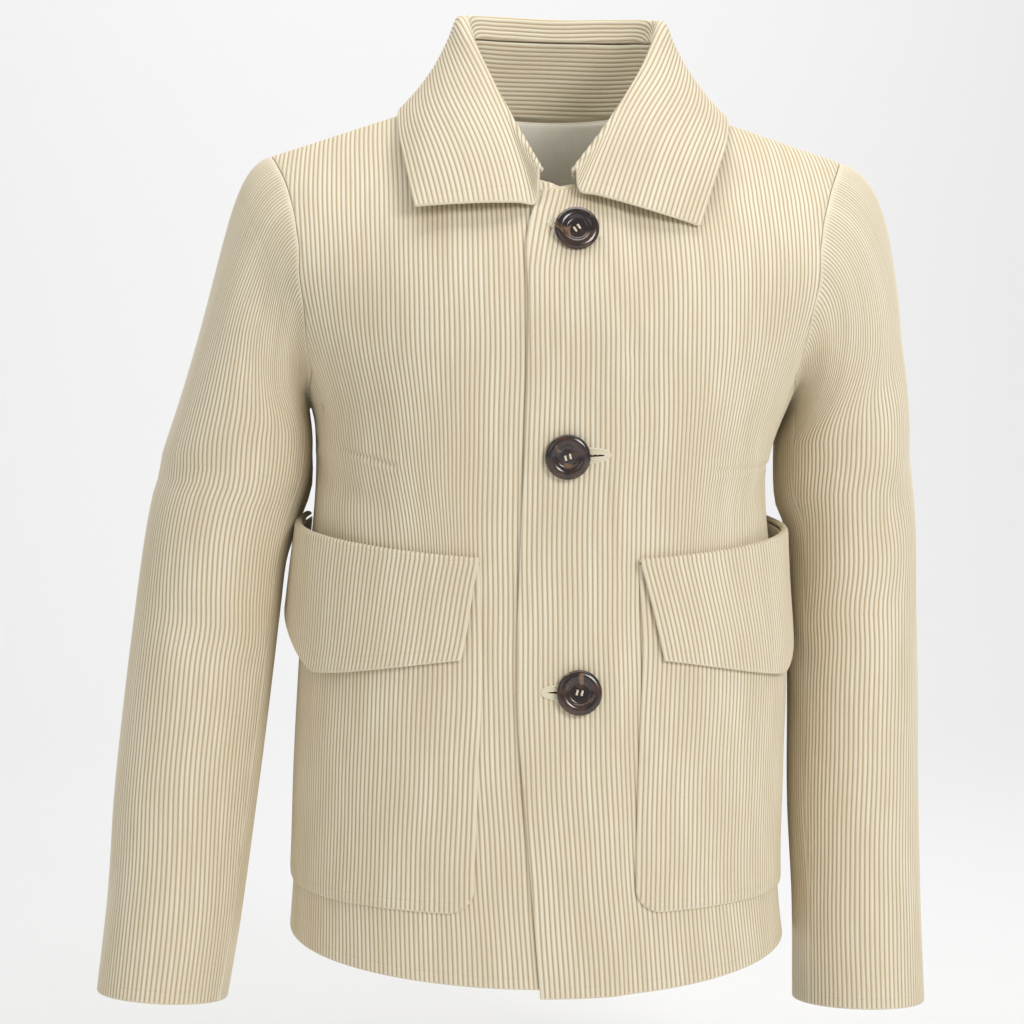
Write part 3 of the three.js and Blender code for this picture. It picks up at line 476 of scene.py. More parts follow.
def front_grid(side):
    laps = side > 0
    drop = HEM_DROP["lapping" if laps else "under"]
    u = np.linspace(0, 1, FINE)
    below = spread(*EDGE_STEPS, (DART_ROWS[0] - 20, 9), (DART_ROWS[1] - 10, 1.5), (333, 6))
    grid, starts = [], []
    for kind, value in body_rows(44, drop, below):
        centre = mix(ARMPIT, hem_level(0, drop), value) if kind == "hem" else value
        edge_x = along(FRONT_EDGE, centre, "x") if laps else UNDERLAP_X * smooth(-centre, NECK_DROP, NECK_DROP + 25)
        if centre > -NECK_DROP:
            edge_x = side * NECK_HALF * math.sqrt(max(0, 1 - (centre / NECK_DROP) ** 2))
        first = angle_at(centre, edge_x)
        last = side * SIDE_SEAM if kind == "hem" else side * along(ARMHOLE, value, "front")
        last = side * min(abs(last), SIDE_SEAM - SEAM_ANGLE)
        angle = mix(first, last, u)
        level = mix(ARMPIT, hem_level(angle, drop), value) if kind == "hem" else np.full(FINE, value)
        x = body(angle, level)[:, 0]
        lap = LAP_OFFSET * (1 - smooth(x, LAP_FLAT_TO, LAP_ENDS_AT)) if laps else 0
        grid.append(on_body(angle, level, lap + CLOTH / 2))
        starts.append(side * (float(edge_x) - float(along(GRAIN, centre, "x"))))
    return np.array(grid), np.array(starts)


# How far the cords are drawn towards the lap's edge at its top, and inward beside the dart
LAP_DRAW = table("level pull", (-560, 0), (-125, 0), (-105, 3), (-85, 8), (-66, 13), (0, 13))
LAP_DRAW_WIDTH = 24
DART_DRAW = table("level pull", (-560, 0), (-420, -8), (-330, -22), (-285, -22), (-236, -12), (-190, -4), (-150, 0), (0, 0))
DART_DRAW_FROM = (55, 135)


def front_lean(side, grid):
    level = grid[:, 0, 2][:, None]

    def lean(s, t):
        draw = along(DART_DRAW, level, "pull") * smooth(s, *DART_DRAW_FROM)
        if side > 0:
            draw = draw + along(LAP_DRAW, level, "pull") * np.exp(-((s + 20) / LAP_DRAW_WIDTH) ** 2)
        return draw
    return lean


def back_grid(rows_above=30, below=None, offset=CLOTH / 2):
    u = np.linspace(0, 1, FINE * 2)
    below = spread(*EDGE_STEPS, (333, 14))
    grid = []
    for kind, value in body_rows(rows_above, 0, below):
        first = SIDE_SEAM if kind == "hem" else along(ARMHOLE, value, "back")
        first = max(float(first), SIDE_SEAM + SEAM_ANGLE)
        angle = mix(first, 360 - first, u)
        level = mix(ARMPIT, hem_level(angle, 0), value) if kind == "hem" else np.full(len(u), value)
        grid.append(on_body(angle, level, offset))
    return np.array(grid)


def lining_grid():
    u = np.linspace(0, 1, FINE)
    grid = []
    for level in np.linspace(-122, -1.5, 44):
        first = float(along(ARMHOLE, level, "back")) + 1
        grid.append(on_body(mix(first, 360 - first, u), level, -LINING_GAP - LINING_CLOTH / 2))
    return np.array(grid)


def centred(grid):
    return -lengths_along(grid)[:, -1] / 2


# Sleeves

def sleeve_ring(rows, side, angle, level):
    """Ring of the sleeve: angle 0 is next to the body, 90 the front and 180 the outside."""
    lean = {c: (along(rows, level + LEAN_STEP, c) - along(rows, level - LEAN_STEP, c)) / (2 * LEAN_STEP) for c in "xy"}
    dx = -side * np.cos(np.radians(angle)) * along(rows, level, "across")
    dy = -np.sin(np.radians(angle)) * along(rows, level, "deep")
    return points(along(rows, level, "x") + dx, along(rows, level, "y") + dy, level - lean["x"] * dx - lean["y"] * dy)


def ring_normals(grid, side):
    round_it = np.roll(grid, -1, axis=1) - np.roll(grid, 1, axis=1)
    return -side * unit(np.cross(round_it, np.gradient(grid, axis=0)))


RIM_STEPS = 70


def sleeve_grid(side, rows, folds):
    """The whole sleeve from the armhole to the cuff, and where its two seams lie round it."""
    up = np.concatenate(([ARMPIT], half_wave(RIM_STEPS)))
    down = up[1:-1][::-1]
    level = np.concatenate((up, down))
    angle = side * np.concatenate((along(ARMHOLE, up, "front"), along(ARMHOLE, down, "back")))
    middle = on_body(angle, level, CLOTH / 2)
    normal = unit(middle - on_body(angle, level, 0))
    run = unit(np.roll(middle, -1, axis=0) - np.roll(middle, 1, axis=0))
    away = unit(-side * np.cross(normal, run))
    length = np.linalg.norm(np.roll(middle, -1, axis=0) - middle, axis=1)
    done = np.concatenate(([0], np.cumsum(length)[:-1]))
    shoulder = RIM_STEPS
    turn = np.where(np.arange(len(level)) <= shoulder, 180 * done / done[shoulder],
                    180 + 180 * (done - done[shoulder]) / (length.sum() - done[shoulder]))
    outward = np.array([side, 0.0, 0.0])
    leave = unit(away + outward * (SLEEVE_TURN * (1 - np.abs(away @ outward)))[:, None])
    bend = np.abs((unit(np.cross(run, leave)) * away).sum(axis=1))
    start = middle + away * (SLEEVE_GAP + CLOTH / 2 * bend)[:, None]
    end = sleeve_ring(rows, side, turn, BICEP)
    far = np.linalg.norm(end - start, axis=1)[:, None]
    p1 = start + leave * (CAP_LIFT[side] * far + CAP_START)
    p2 = end + unit(end - sleeve_ring(rows, side, turn, BICEP - 6)) * CAP_FULLNESS * far
    grid = [start * (1 - t) ** 3 + 3 * p1 * t * (1 - t) ** 2 + 3 * p2 * t * t * (1 - t) + end * t ** 3
            for t in np.concatenate(([0, 0.008, 0.02], np.linspace(0.04, 1, 34)[:-1]))]
    cuff = rows["level"][0]
    for depth in spread(*EDGE_STEPS, (BICEP - cuff, 8.6))[::-1]:
        grid.append(sleeve_ring(rows, side, turn, cuff + depth))
    grid = np.array(grid)
    ease = smooth(np.linspace(0, len(grid) / 9, len(grid)), 0, 1)[:, None]
    depth = ease * fold_depth(folds, turn[None, :], grid[..., 2], math.radians(SLEEVE_RADIUS))
    grid = grid - ring_normals(grid, side) * depth[..., None]
    front = int(np.argmin(np.abs(up - FRONT_PITCH)))
    back = RIM_STEPS + 1 + int(np.argmin(np.abs(down - BACK_PITCH)))
    return grid, front, back


def denser(grid, times=3):
    """More points along every row, on straight runs between the old ones."""
    run = np.arange(grid.shape[1], dtype=float)
    at = np.linspace(0, grid.shape[1] - 1, (grid.shape[1] - 1) * times + 1)
    return resample(grid, [run] * len(grid), [at] * len(grid))


def sleeve_part(grid, first, last, inset=0.15):
    """Columns first to last of a sleeve, a little in from its seams."""
    count = grid.shape[1]
    part = grid[:, [i % count for i in range(first, last + 1)]]
    for end, step in ((0, 1), (-1, -2)):
        part[:, end] = part[:, end] + unit(part[:, step] - part[:, end]) * inset
    return part


# Pockets

def pocket_fold(u):
    return mix(*POCKET_FOLD, u ** POCKET_BEND)


def pocket_angle(side, u, level, cut=0.0):
    x = side * (POCKET_INNER_X + cut) + along(GIRTH, level, "sway")
    return mix(angle_at(level, x), side * POCKET_END, u)


def pocket_hang(side, angle, level):
    """How far the pocket's cloth hangs clear of the waist."""
    inner = pocket_angle(side, POCKET_HANGS_FROM, level)
    part = np.clip((angle - inner) / (side * POCKET_END - inner), 0, 1)
    return np.maximum(0, POCKET_HANG_HALF - along(GIRTH, level, "half")) * np.sin(math.pi * part ** POCKET_BEND)


def pocket_grid(side):
    u = np.linspace(0, 1, FINE)
    bottom = mix(*POCKET_BOTTOM, u)
    depth = spread(*EDGE_STEPS, (16, 2.2), (207, 8.5), (208.6, 0.8))
    grid, starts = [], []
    for w in depth / depth[-1]:
        level = mix(bottom, pocket_fold(u), w)
        up = np.minimum((level - bottom) / POCKET_CORNER, 1)
        cut = POCKET_CORNER * (1 - np.sqrt(1 - (1 - up) ** 2))
        angle = pocket_angle(side, u, level, cut)
        grid.append(on_body(angle, level, POCKET_OFF + pocket_hang(side, angle, level) + CLOTH / 2))
        starts.append(cut[0])
    return np.array(grid), np.array(starts)


def cuff_grid(side):
    u = np.linspace(0, 1, FINE)
    fold = pocket_fold(u)
    lower = along(CUFF_EDGE, u, "level")
    flare = along(CUFF_EDGE, u, "left" if side > 0 else "right")
    top_hang = pocket_hang(side, pocket_angle(side, u, fold), fold)
    start = POCKET_OFF + top_hang + CLOTH / 2
    stop = POCKET_OFF + top_hang + CLOTH + CUFF_CLEAR + CLOTH / 2
    radius = (stop - start) / 2
    grid = []
    for turn in np.radians(np.arange(0, 180, 15)):
        level = fold + SEAM_GAP + CLOTH / 2 + radius * np.sin(turn)
        grid.append(on_body(pocket_angle(side, u, level), level, start + radius * (1 - np.cos(turn))))
    for t in np.concatenate((np.linspace(0.01, 0.96, 20), [0.98, 0.99, 1])):
        level = mix(fold, lower, t)
        angle = pocket_angle(side, u, level, t * CUFF_SLANT)
        hung = pocket_hang(side, angle, level) - top_hang
        grid.append(on_body(angle, level, stop + hung + t * flare))
    return np.array(grid)


# Collar

def collar_stations():
    names = ("seam", "roll", "mid", "edge")
    rows = []
    for side in (-1, 1):
        for i in range(COLLAR_END + 1):
            if side == 1 and i == 0:
                continue
            row = {key: float(COLLAR[key][i]) for key in COLLAR}
            row["place"] = side * i
            row["neckX"] = side * row["neckX"] + row["neckShift"]
            for name in names:
                row[name + "X"] = side * row[name + "X"] + row["shift"]
            if i == COLLAR_END:
                row["edgeZ"] += END_EDGE[side]
                row["drop"] += END_DROP[side]
            rows.append(row)
    rows.sort(key=lambda row: row["place"])
    return {key: np.array([row[key] for row in rows]) for key in rows[0]}


STATIONS = collar_stations()


def station(at, name):
    return points(*(along(STATIONS, at, name + axis) for axis in "XYZ"))


def neck_points(at):
    behind = np.abs(at) <= 3
    level = np.where(behind, 0, np.minimum(along(STATIONS, at, "neckLevel"), 0))
    angle = angle_at(np.where(behind, -0.01, level), along(STATIONS, at, "neckX"))
    return on_body(np.where(behind, 180 - angle, angle), level, CLOTH / 2)


COLLAR_PLACES = np.concatenate((
    [-COLLAR_END, -COLLAR_END + 0.006, -COLLAR_END + 0.016], np.linspace(-COLLAR_END + 0.03, COLLAR_END - 0.03, 118),
    [COLLAR_END - 0.016, COLLAR_END - 0.006, COLLAR_END]))


def stand_grid():
    at = COLLAR_PLACES
    low = neck_points(at)
    low[:, 2] += STAND_LIFT[0] + STAND_LIFT[1] * np.abs(at / COLLAR_END) ** 4
    high = station(at, "seam")
    t = np.linspace(0.02, 0.995, 60)[None, :, None]
    return mix(low[:, None], high[:, None], t)


def smooth_rows(knots, count):
    """Each row of knots as a smooth line of evenly spread points."""
    rows = []
    for row in knots:
        chord = np.concatenate(([0], np.cumsum(np.linalg.norm(np.diff(row, axis=0), axis=1))))
        line = {"key": chord, "x": row[:, 0], "y": row[:, 1], "z": row[:, 2]}
        at = np.linspace(0, chord[-1], count)
        rows.append(points(*(along(line, at, axis) for axis in "xyz")))
    return np.array(rows)


def fall_grid():
    at = COLLAR_PLACES
    seam, roll, middle, edge = (station(at, name) for name in ("seam", "roll", "mid", "edge"))
    seam[:, 2] += COLLAR_SEAM
    outward = middle - seam
    outward[:, 2] = 0
    outward = unit(outward)
    over = roll + outward * ROLL_OUT + np.array([0, 0, ROLL_RISE])
    begin = roll + outward * ROLL_WIDTH
    begin[:, 2] -= along(STATIONS, at, "drop")
    fall = [begin * (1 - t) ** 2 + 2 * middle * t * (1 - t) + edge * t * t for t in (0, 0.16, 0.34, 0.56, 0.78, 1)]
    knots = np.stack([seam, mix(seam, roll, 0.55), roll, over, *fall], axis=1)
    grid = smooth_rows(knots, 260)
    return grid, -lengths_along(grid)[:, -1]


# Materials

class Shade:
    """A socket of a node tree, on which sums add their Math nodes."""

    def __init__(self, tree, socket):
        self.tree = tree
        self.socket = socket

    def node(self, kind, settings=None, inputs=None, output=0):
        return make_node(self.tree, kind, settings, inputs, output)

    def sum(self, operation, *others):
        return self.node("ShaderNodeMath", {"operation": operation}, dict(enumerate((self, *others))))

    def __add__(self, other):
        return self.sum("ADD", other)

    def __sub__(self, other):
        return self.sum("SUBTRACT", other)

    def __mul__(self, other):
        return self.sum("MULTIPLY", other)

    def __rsub__(self, other):
        return self.node("ShaderNodeMath", {"operation": "SUBTRACT"}, {0: other, 1: self})

    __radd__ = __add__
    __rmul__ = __mul__

    def power(self, exponent):
        return self.sum("POWER", exponent)

    def between(self, low, high):
        """0 below low, 1 above high, smooth between."""
        return self.node("ShaderNodeMapRange", {"interpolation_type": "SMOOTHSTEP"}, {0: self, 1: low, 2: high})

    def blend(self, first, second):
        """The first colour where this is 0 and the second where it is 1."""
        return self.node("ShaderNodeMix", {"data_type": "RGBA"}, {0: self, 6: first, 7: second}, 2)


def make_node(tree, kind, settings=None, inputs=None, output=0):
    node = tree.nodes.new(kind)
    for key, value in (settings or {}).items():
        if key == "stops":
            ramp = node.color_ramp.elements
            while len(ramp) < len(value):
                ramp.new(0.5)
            for element, (position, colour) in zip(ramp, value):
                element.position = position
                element.color = colour
        else:
            setattr(node, key, value)
    for key, value in (inputs or {}).items():
        if isinstance(value, Shade):
            tree.links.new(value.socket, node.inputs[key])
        else:
            node.inputs[key].default_value = value
    return Shade(tree, node.outputs[output])


def shader(name, constants):
    """A new material, its tree and its shader, with the values that are the same all over."""
    material = bpy.data.materials.new(name)
    material.use_nodes = True
    tree = material.node_tree
    surface = tree.nodes["Principled BSDF"]
    for key, value in constants.items():
        surface.inputs[key].default_value = value
    return material, tree, surface


def link(tree, value, surface, socket):
    tree.links.new(value.socket, surface.inputs[socket])


def attribute(tree, name, output):
    return make_node(tree, "ShaderNodeAttribute", {"attribute_name": name}, None, output)


def weave_place(tree, across, down, output="Vector"):
    """The cloth's own coordinates, across and along its cords, in millimetres, scaled."""
    place = attribute(tree, "weave", 1)
    return place.node("ShaderNodeVectorMath", {"operation": "MULTIPLY"}, {0: place, 1: (across, down, 0.0)})


def noise(place, detail=2.0, roughness=0.5):
    return place.node("ShaderNodeTexNoise", None, {
        "Vector": place, "Scale": 1.0, "Detail": detail, "Roughness": roughness})


def rgba(colour):
    return (*colour, 1.0)


def corduroy(look):
    """Cream corduroy: light cords with darker grooves, soft pile, and a pressed line near the edges. The grooves'
    colour is partly the tan ground weave and partly painted shade.
    """
    material, tree, surface = shader("cord_cloth", {
        "Sheen Weight": 0.12, "Sheen Roughness": 0.5, "Sheen Tint": rgba(look.crest), "Specular IOR Level": 0.25})
    parts = make_node(tree, "ShaderNodeSeparateXYZ", None, {0: attribute(tree, "weave", 1)}, 2)
    edge = attribute(tree, "edge", 2)
    pile = noise(weave_place(tree, 2.4, 0.55), 3.0, 0.6)
    patches = noise(weave_place(tree, 0.035, 0.012), 2.0)
    streaks = noise(weave_place(tree, 0.33, 0.02), 2.0)
    top = parts.between(0.1, 0.95)
    worn = (patches * 0.6 + streaks * 0.4).between(0.36, 0.66)
    crest = worn.blend(rgba(look.shade), rgba(look.crest))
    # The groove colour shows where the cords' mask is low: partly the tan ground weave, partly painted shade in the
    # grooves.
    colour = (top + (pile - 0.5) * 0.24).blend(rgba(look.groove), crest)
    link(tree, colour, surface, "Base Color")
    link(tree, 0.82 + pile * 0.14, surface, "Roughness")
    pressed = 1 - (edge - look.stitch_in).sum("ABSOLUTE").between(0.0, 0.9)
    height = pile * 0.35 - pressed * 0.8
    bump = make_node(tree, "ShaderNodeBump", None, {"Strength": 0.45, "Distance": 0.0004, "Height": height})
    link(tree, bump, surface, "Normal")
    return material


def reverse(look):
    """Back of the corduroy: close plain weave with faint lines where the cords are."""
    material, tree, surface = shader("cord_cloth_reverse", {"Sheen Weight": 0.15, "Specular IOR Level": 0.2})
    parts = make_node(tree, "ShaderNodeSeparateXYZ", None, {0: attribute(tree, "weave", 1)}, 2)
    fine = noise(weave_place(tree, 1.3, 1.3), 3.0)
    colour = (parts * 0.5 + fine * 0.5).between(0.1, 0.9).blend(rgba(look.shade), rgba(look.lining))
    link(tree, colour, surface, "Base Color")
    link(tree, 0.86 + fine * 0.1, surface, "Roughness")
    bump = make_node(tree, "ShaderNodeBump", None, {"Strength": 0.3, "Distance": 0.0003, "Height": fine})
    link(tree, bump, surface, "Normal")
    return material


def lining_cloth(look):
    """Light lining with a fine grid of raised threads."""
    material, tree, surface = shader("lining_weave", {"Sheen Weight": 0.2, "Specular IOR Level": 0.3})
    place = weave_place(tree, 1 / look.lining_grid, 1 / look.lining_grid)
    waves = []
    for axis in (0, 1):
        line = make_node(tree, "ShaderNodeSeparateXYZ", None, {0: place}, axis)
        waves.append((line * math.tau).sum("SINE").between(0.5, 1.0))
    threads = waves[0].sum("MAXIMUM", waves[1])
    soft = noise(weave_place(tree, 0.05, 0.05), 3.0)
    base = soft.between(0.3, 0.7).blend(rgba(look.lining), rgba([0.93 * c for c in look.lining]))
    link(tree, (threads * 0.35).blend(base, rgba(look.shade)), surface, "Base Color")
    link(tree, 0.7 + soft * 0.15, surface, "Roughness")
    bump = make_node(tree, "ShaderNodeBump", None, {"Strength": 0.4, "Distance": 0.0003, "Height": threads})
    link(tree, bump, surface, "Normal")
    return material


def horn(look):
    """Polished dark horn with brown clouds and a paler streak."""
    material, tree, surface = shader("dark_horn", {
        "Specular IOR Level": 0.6, "Coat Weight": 0.6, "Coat Roughness": 0.06})
    place = make_node(tree, "ShaderNodeTexCoord", None, None, 3)
    cloud = place.node("ShaderNodeTexNoise", None, {"Vector": place, "Scale": 95.0, "Detail": 3.0, "Distortion": 1.2})
    streak = place.node("ShaderNodeTexNoise", None, {"Vector": place, "Scale": 55.0, "Detail": 1.0, "Distortion": 2.0})
    colour = cloud.between(0.42, 0.68).blend(rgba(look.horn_dark_and_slit_shadow), rgba(look.horn_brown_and_slit_shadow))
    colour = streak.between(0.64, 0.76).blend(colour, rgba(look.horn_pale))
    link(tree, colour, surface, "Base Color")
    link(tree, 0.16 + cloud * 0.1, surface, "Roughness")
    bump = make_node(tree, "ShaderNodeBump", None, {"Strength": 0.05, "Distance": 0.0002, "Height": cloud})
    link(tree, bump, surface, "Normal")
    return material


def thread_yarn(look):
    """Twisted cream sewing thread."""
    material, tree, surface = shader("thread", {"Sheen Weight": 0.4, "Specular IOR Level": 0.3})
    place = make_node(tree, "ShaderNodeTexCoord", None, None, 3)
    twist = place.node("ShaderNodeTexNoise", None, {"Vector": place, "Scale": 1400.0, "Detail": 2.0})
    link(tree, twist.between(0.3, 0.7).blend(rgba(look.shade), rgba(look.thread)), surface, "Base Color")
    link(tree, 0.6 + twist * 0.2, surface, "Roughness")
    bump = make_node(tree, "ShaderNodeBump", None, {"Strength": 0.4, "Distance": 0.0003, "Height": twist})
    link(tree, bump, surface, "Normal")
    return material


def slit_painted_shadow(look):
    """Painted shadow for the depth of a buttonhole's slit, in dark brown fuzz."""
    material, tree, surface = shader("slit_painted_shadow", {"Specular IOR Level": 0.1})
    place = make_node(tree, "ShaderNodeTexCoord", None, None, 3)
    fuzz = place.node("ShaderNodeTexNoise", None, {"Vector": place, "Scale": 900.0, "Detail": 2.0})
    link(tree, fuzz.between(0.4, 0.8).blend(rgba(look.horn_dark_and_slit_shadow), rgba(look.horn_brown_and_slit_shadow)), surface, "Base Color")
    link(tree, 0.8 + fuzz * 0.15, surface, "Roughness")
    return material


def finish(name):
    """The material of this name, made once from the settings."""
    makers = {"cord_cloth": corduroy, "cord_cloth_reverse": reverse, "lining_weave": lining_cloth,
              "dark_horn": horn, "thread": thread_yarn, "slit_painted_shadow": slit_painted_shadow}
    return bpy.data.materials.get(name) or makers[name](bpy.context.scene.jacket)


def cloth_finishes():
    return finish("cord_cloth"), finish("cord_cloth_reverse")


# Small parts

def tube(name, path, radius, closed=False, flat=1.0, sides=8, out=None):
    """A round thread or cord along a path of points in millimetres."""
    path = np.asarray(path, float)
    way = (np.roll(path, -1, axis=0) - np.roll(path, 1, axis=0)) if closed else np.gradient(path, axis=0)
    way = unit(way)
    out = unit(np.broadcast_to(out, path.shape))
    aside = unit(np.cross(way, out))
    out = unit(np.cross(aside, way))
    turn = np.linspace(0, math.tau, sides + 1)
    ring = (np.cos(turn)[None, :, None] * aside[:, None] + flat * np.sin(turn)[None, :, None] * out[:, None])
    taper = np.ones(len(path)) * radius
    if not closed:
        taper[0] = taper[-1] = 0.02
    rows = path[:, None] + ring * taper[:, None, None]
    if closed:
        rows = np.concatenate((rows, rows[:1]))
    bm = bmesh.new()
    bmesh.ops.create_grid(bm, x_segments=sides, y_segments=len(rows) - 1, size=1)
    for vert in bm.verts:
        column = round((vert.co.x + 1) / 2 * sides)
        row = round((vert.co.y + 1) / 2 * (len(rows) - 1))
        vert.co = rows[row, column] * MM
    bmesh.ops.remove_doubles(bm, verts=bm.verts[:], dist=1e-6)
    bmesh.ops.holes_fill(bm, edges=bm.edges[:], sides=sides)
    for face in bm.faces:
        face.smooth = True
    bmesh.ops.recalc_face_normals(bm, faces=bm.faces[:])
    mesh = bpy.data.meshes.new(name)
    bm.to_mesh(mesh)
    bm.free()
    return mesh


def joined(name, meshes, material):
    """Several meshes as one piece that rides on the body."""
    bm = bmesh.new()
    for mesh in meshes:
        bm.from_mesh(mesh)
        bpy.data.meshes.remove(mesh)
    mesh = bpy.data.meshes.new(name)
    bm.to_mesh(mesh)
    bm.free()
    mesh.materials.append(material)
    piece = bpy.data.objects.new(name, mesh)
    bpy.context.scene.collection.objects.link(piece)
    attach(piece, "root")
    return piece


def button_frame(x, level, out, turn=0.0, upright=0.0):
    """Matrix that lays a button on the lapping front, its face outwards and turned upright by a share."""
    angle = angle_at(level, x)
    base = on_body(angle, level, out)
    normal = unit(base - on_body(angle, level, 0))
    normal[2] *= 1 - upright
    normal = Vector(unit(normal))
    across = Vector((0, 0, 1)).cross(normal).normalized()
    up = normal.cross(across)
    rotation = Matrix((across, up, normal)).transposed().to_4x4()
    return Matrix.Translation(Vector(base) * MM) @ rotation @ Matrix.Rotation(math.radians(turn), 4, "Z")


BUTTON_PROFILE = (
    (0, 0), (11.4, 0), (12.6, 0.5), (13.3, 1.3), (13.6, 2.2), (13.4, 3.1), (12.8, 3.8), (11.9, 4.3), (10.8, 4.6),
    (9.7, 4.6), (8.7, 4.35), (7.8, 3.85), (7.0, 3.15), (6.4, 2.65), (5.7, 2.45), (4.6, 2.5), (0, 2.6),
)
HOLE_RADIUS = 0.85
HOLE_FROM = 1.5


def button_mesh(name, matrix):
    bm = bmesh.new()
    verts = [bm.verts.new((r * MM, 0, z * MM)) for r, z in BUTTON_PROFILE]
    edges = [bm.edges.new(pair) for pair in zip(verts, verts[1:])]
    bmesh.ops.spin(bm, geom=verts + edges, axis=(0, 0, 1), cent=(0, 0, 0), dvec=(0, 0, 0), angle=math.tau, steps=64,
                   use_merge=True, use_duplicate=False)
    bmesh.ops.remove_doubles(bm, verts=bm.verts[:], dist=1e-6)
    bmesh.ops.recalc_face_normals(bm, faces=bm.faces[:])
    disc = bpy.data.meshes.new(name)
    bm.to_mesh(disc)
    bm.free()
    cutter = bmesh.new()
    for sx in (-1, 1):
        for sy in (-1, 1):
            place = Matrix.Translation((sx * HOLE_FROM * MM, sy * HOLE_FROM * MM, 2 * MM))
            bmesh.ops.create_cone(cutter, cap_ends=True, segments=20, radius1=HOLE_RADIUS * MM,
                                  radius2=HOLE_RADIUS * MM, depth=9 * MM, matrix=place)
    holes = bpy.data.meshes.new(name + "_holes")
    cutter.to_mesh(holes)
    cutter.free()
    body_object = bpy.data.objects.new(name + "_disc", disc)
    hole_object = bpy.data.objects.new(name + "_cut", holes)
    for item in (body_object, hole_object):
        bpy.context.scene.collection.objects.link(item)
    cut = body_object.modifiers.new("holes", "BOOLEAN")
    cut.object = hole_object
    cut.solver = "EXACT"
    bpy.context.view_layer.update()
    done = bpy.data.meshes.new_from_object(body_object.evaluated_get(bpy.context.evaluated_depsgraph_get()))
    for item in (body_object, hole_object):
        bpy.data.objects.remove(item)
    done.transform(matrix)
    for polygon in done.polygons:
        polygon.use_smooth = True
    done.set_sharp_from_angle(angle=math.radians(50))
    return done


def thread_meshes(name, matrix):
    """Two strands between each pair of a button's holes."""
    meshes = []
    normal = tuple(matrix.to_3x3() @ Vector((0, 0, 1)))
    t = np.linspace(-1, 1, 17)
    for sx in (-1, 1):
        for strand in (-0.3, 0.3):
            x = sx * HOLE_FROM + strand + 0.12 * np.sin(3 * t)
            y = t * (HOLE_FROM + 0.2)
            z = 2.95 - 1.2 * np.abs(t) ** 4 - 0.25 * np.cos(math.pi * t)
            line = [tuple(matrix @ (Vector(p) * MM) / MM) for p in zip(x, y, z)]
            meshes.append(tube(name, line, 0.36, out=normal))
    return meshes


def on_lap(x, level, out):
    return on_body(angle_at(level, x), level, LAP_OFFSET + CLOTH + out)


def hole_meshes(name, x, level, ends, tilt):
    """Corded buttonhole: nested cords that meet at the slit's two ends."""
    middle, half = (ends[0] + ends[1]) / 2, (ends[1] - ends[0]) / 2
    turn = np.linspace(0, math.tau, 72, endpoint=False)
    slope = math.tan(math.radians(tilt))
    meshes = []
    for reach, wide in ((0.86, 1.35), (0.93, 2.75), (1.0, 4.2)):
        dx = middle + half * reach * np.cos(turn)
        dz = wide * np.sign(np.sin(turn)) * np.abs(np.sin(turn)) ** 0.8 + slope * dx
        path = on_lap(x + dx, level + dz, 0.25)
        normal = path - on_lap(x + dx, level + dz, -0.5)
        meshes.append(tube(name, path, 0.72, closed=True, out=normal))
    return meshes


def slit_shadow_mesh(name, x, level, ends, tilt):
    """A dark flat strip in the middle of a buttonhole: painted shadow for the depth of its slit."""
    dx = np.linspace(ends[0] + 2.6, ends[1] - 2.6, 24)
    path = on_lap(x + dx, level + math.tan(math.radians(tilt)) * dx, 0.35)
    return tube(name, path, 0.75, flat=0.35, out=path - on_lap(x + dx, level, -0.5))


# Settings

def length_setting(label, description, millimetres, low, high):
    return bpy.props.FloatProperty(name=label, description=description, default=millimetres * MM, min=low * MM,
                                   max=high * MM, unit="LENGTH", precision=5)


def colour_setting(label, description, value):
    return bpy.props.FloatVectorProperty(name=label, description=description, default=value, min=0, max=1,
                                         subtype="COLOR", size=3)


class JacketSettings(bpy.types.PropertyGroup):
    """Sizes and colours of the jacket."""
    cord_pitch: length_setting("Cord pitch", "Distance from one cord of the cloth to the next", 3.0, 1, 8)
    cord_height: length_setting("Cord height", "How far the cords stand out of their grooves", 0.6, 0.1, 2)
    crest: colour_setting("Cord colour", "Top of the cords", (0.87, 0.81, 0.64))
    shade: colour_setting("Worn colour", "Duller patches of the cords", (0.79, 0.71, 0.53))
    # Groove colour: partly the tan ground weave, partly painted shade at the bottom of the grooves.
    groove: colour_setting("Groove colour", "Bottom of the grooves", (0.52, 0.395, 0.25))
    lining: colour_setting("Lining colour", "Ground of the lining", (0.90, 0.87, 0.77))
    thread: colour_setting("Thread colour", "Sewing thread and corded buttonholes", (0.80, 0.735, 0.56))
    # The two darker horn colours also paint the shadow in the buttonholes' slits.
    horn_dark_and_slit_shadow: colour_setting("Horn, dark", "Darkest part of the buttons", (0.012, 0.004, 0.002))
    horn_brown_and_slit_shadow: colour_setting("Horn, brown", "Clouds in the buttons", (0.060, 0.022, 0.009))
    horn_pale: colour_setting("Horn, pale", "Streak in the buttons", (0.20, 0.11, 0.055))
    floor: colour_setting("Floor colour", "Floor and backdrop", (0.90, 0.90, 0.90))
    stitch_in: bpy.props.FloatProperty(name="Stitch line", description="Pressed line, in millimetres from the edge",
                                       default=6.0, min=1, max=20)
    lining_grid: bpy.props.FloatProperty(name="Lining grid", description="Millimetres between the lining's threads",
                                         default=1.6, min=0.5, max=6)
    key_power: bpy.props.FloatProperty(name="Key light", description="Power of the key light, in watts", default=17.0,
                                       min=0)
    backdrop_power: bpy.props.FloatProperty(name="Backdrop light", description="Power of the backdrop light, in watts",
                                            default=56.0, min=0)
    fill_power: bpy.props.FloatProperty(name="Fill light", description="Power of the fill light, in watts",
                                        default=3.0, min=0)


# Operators

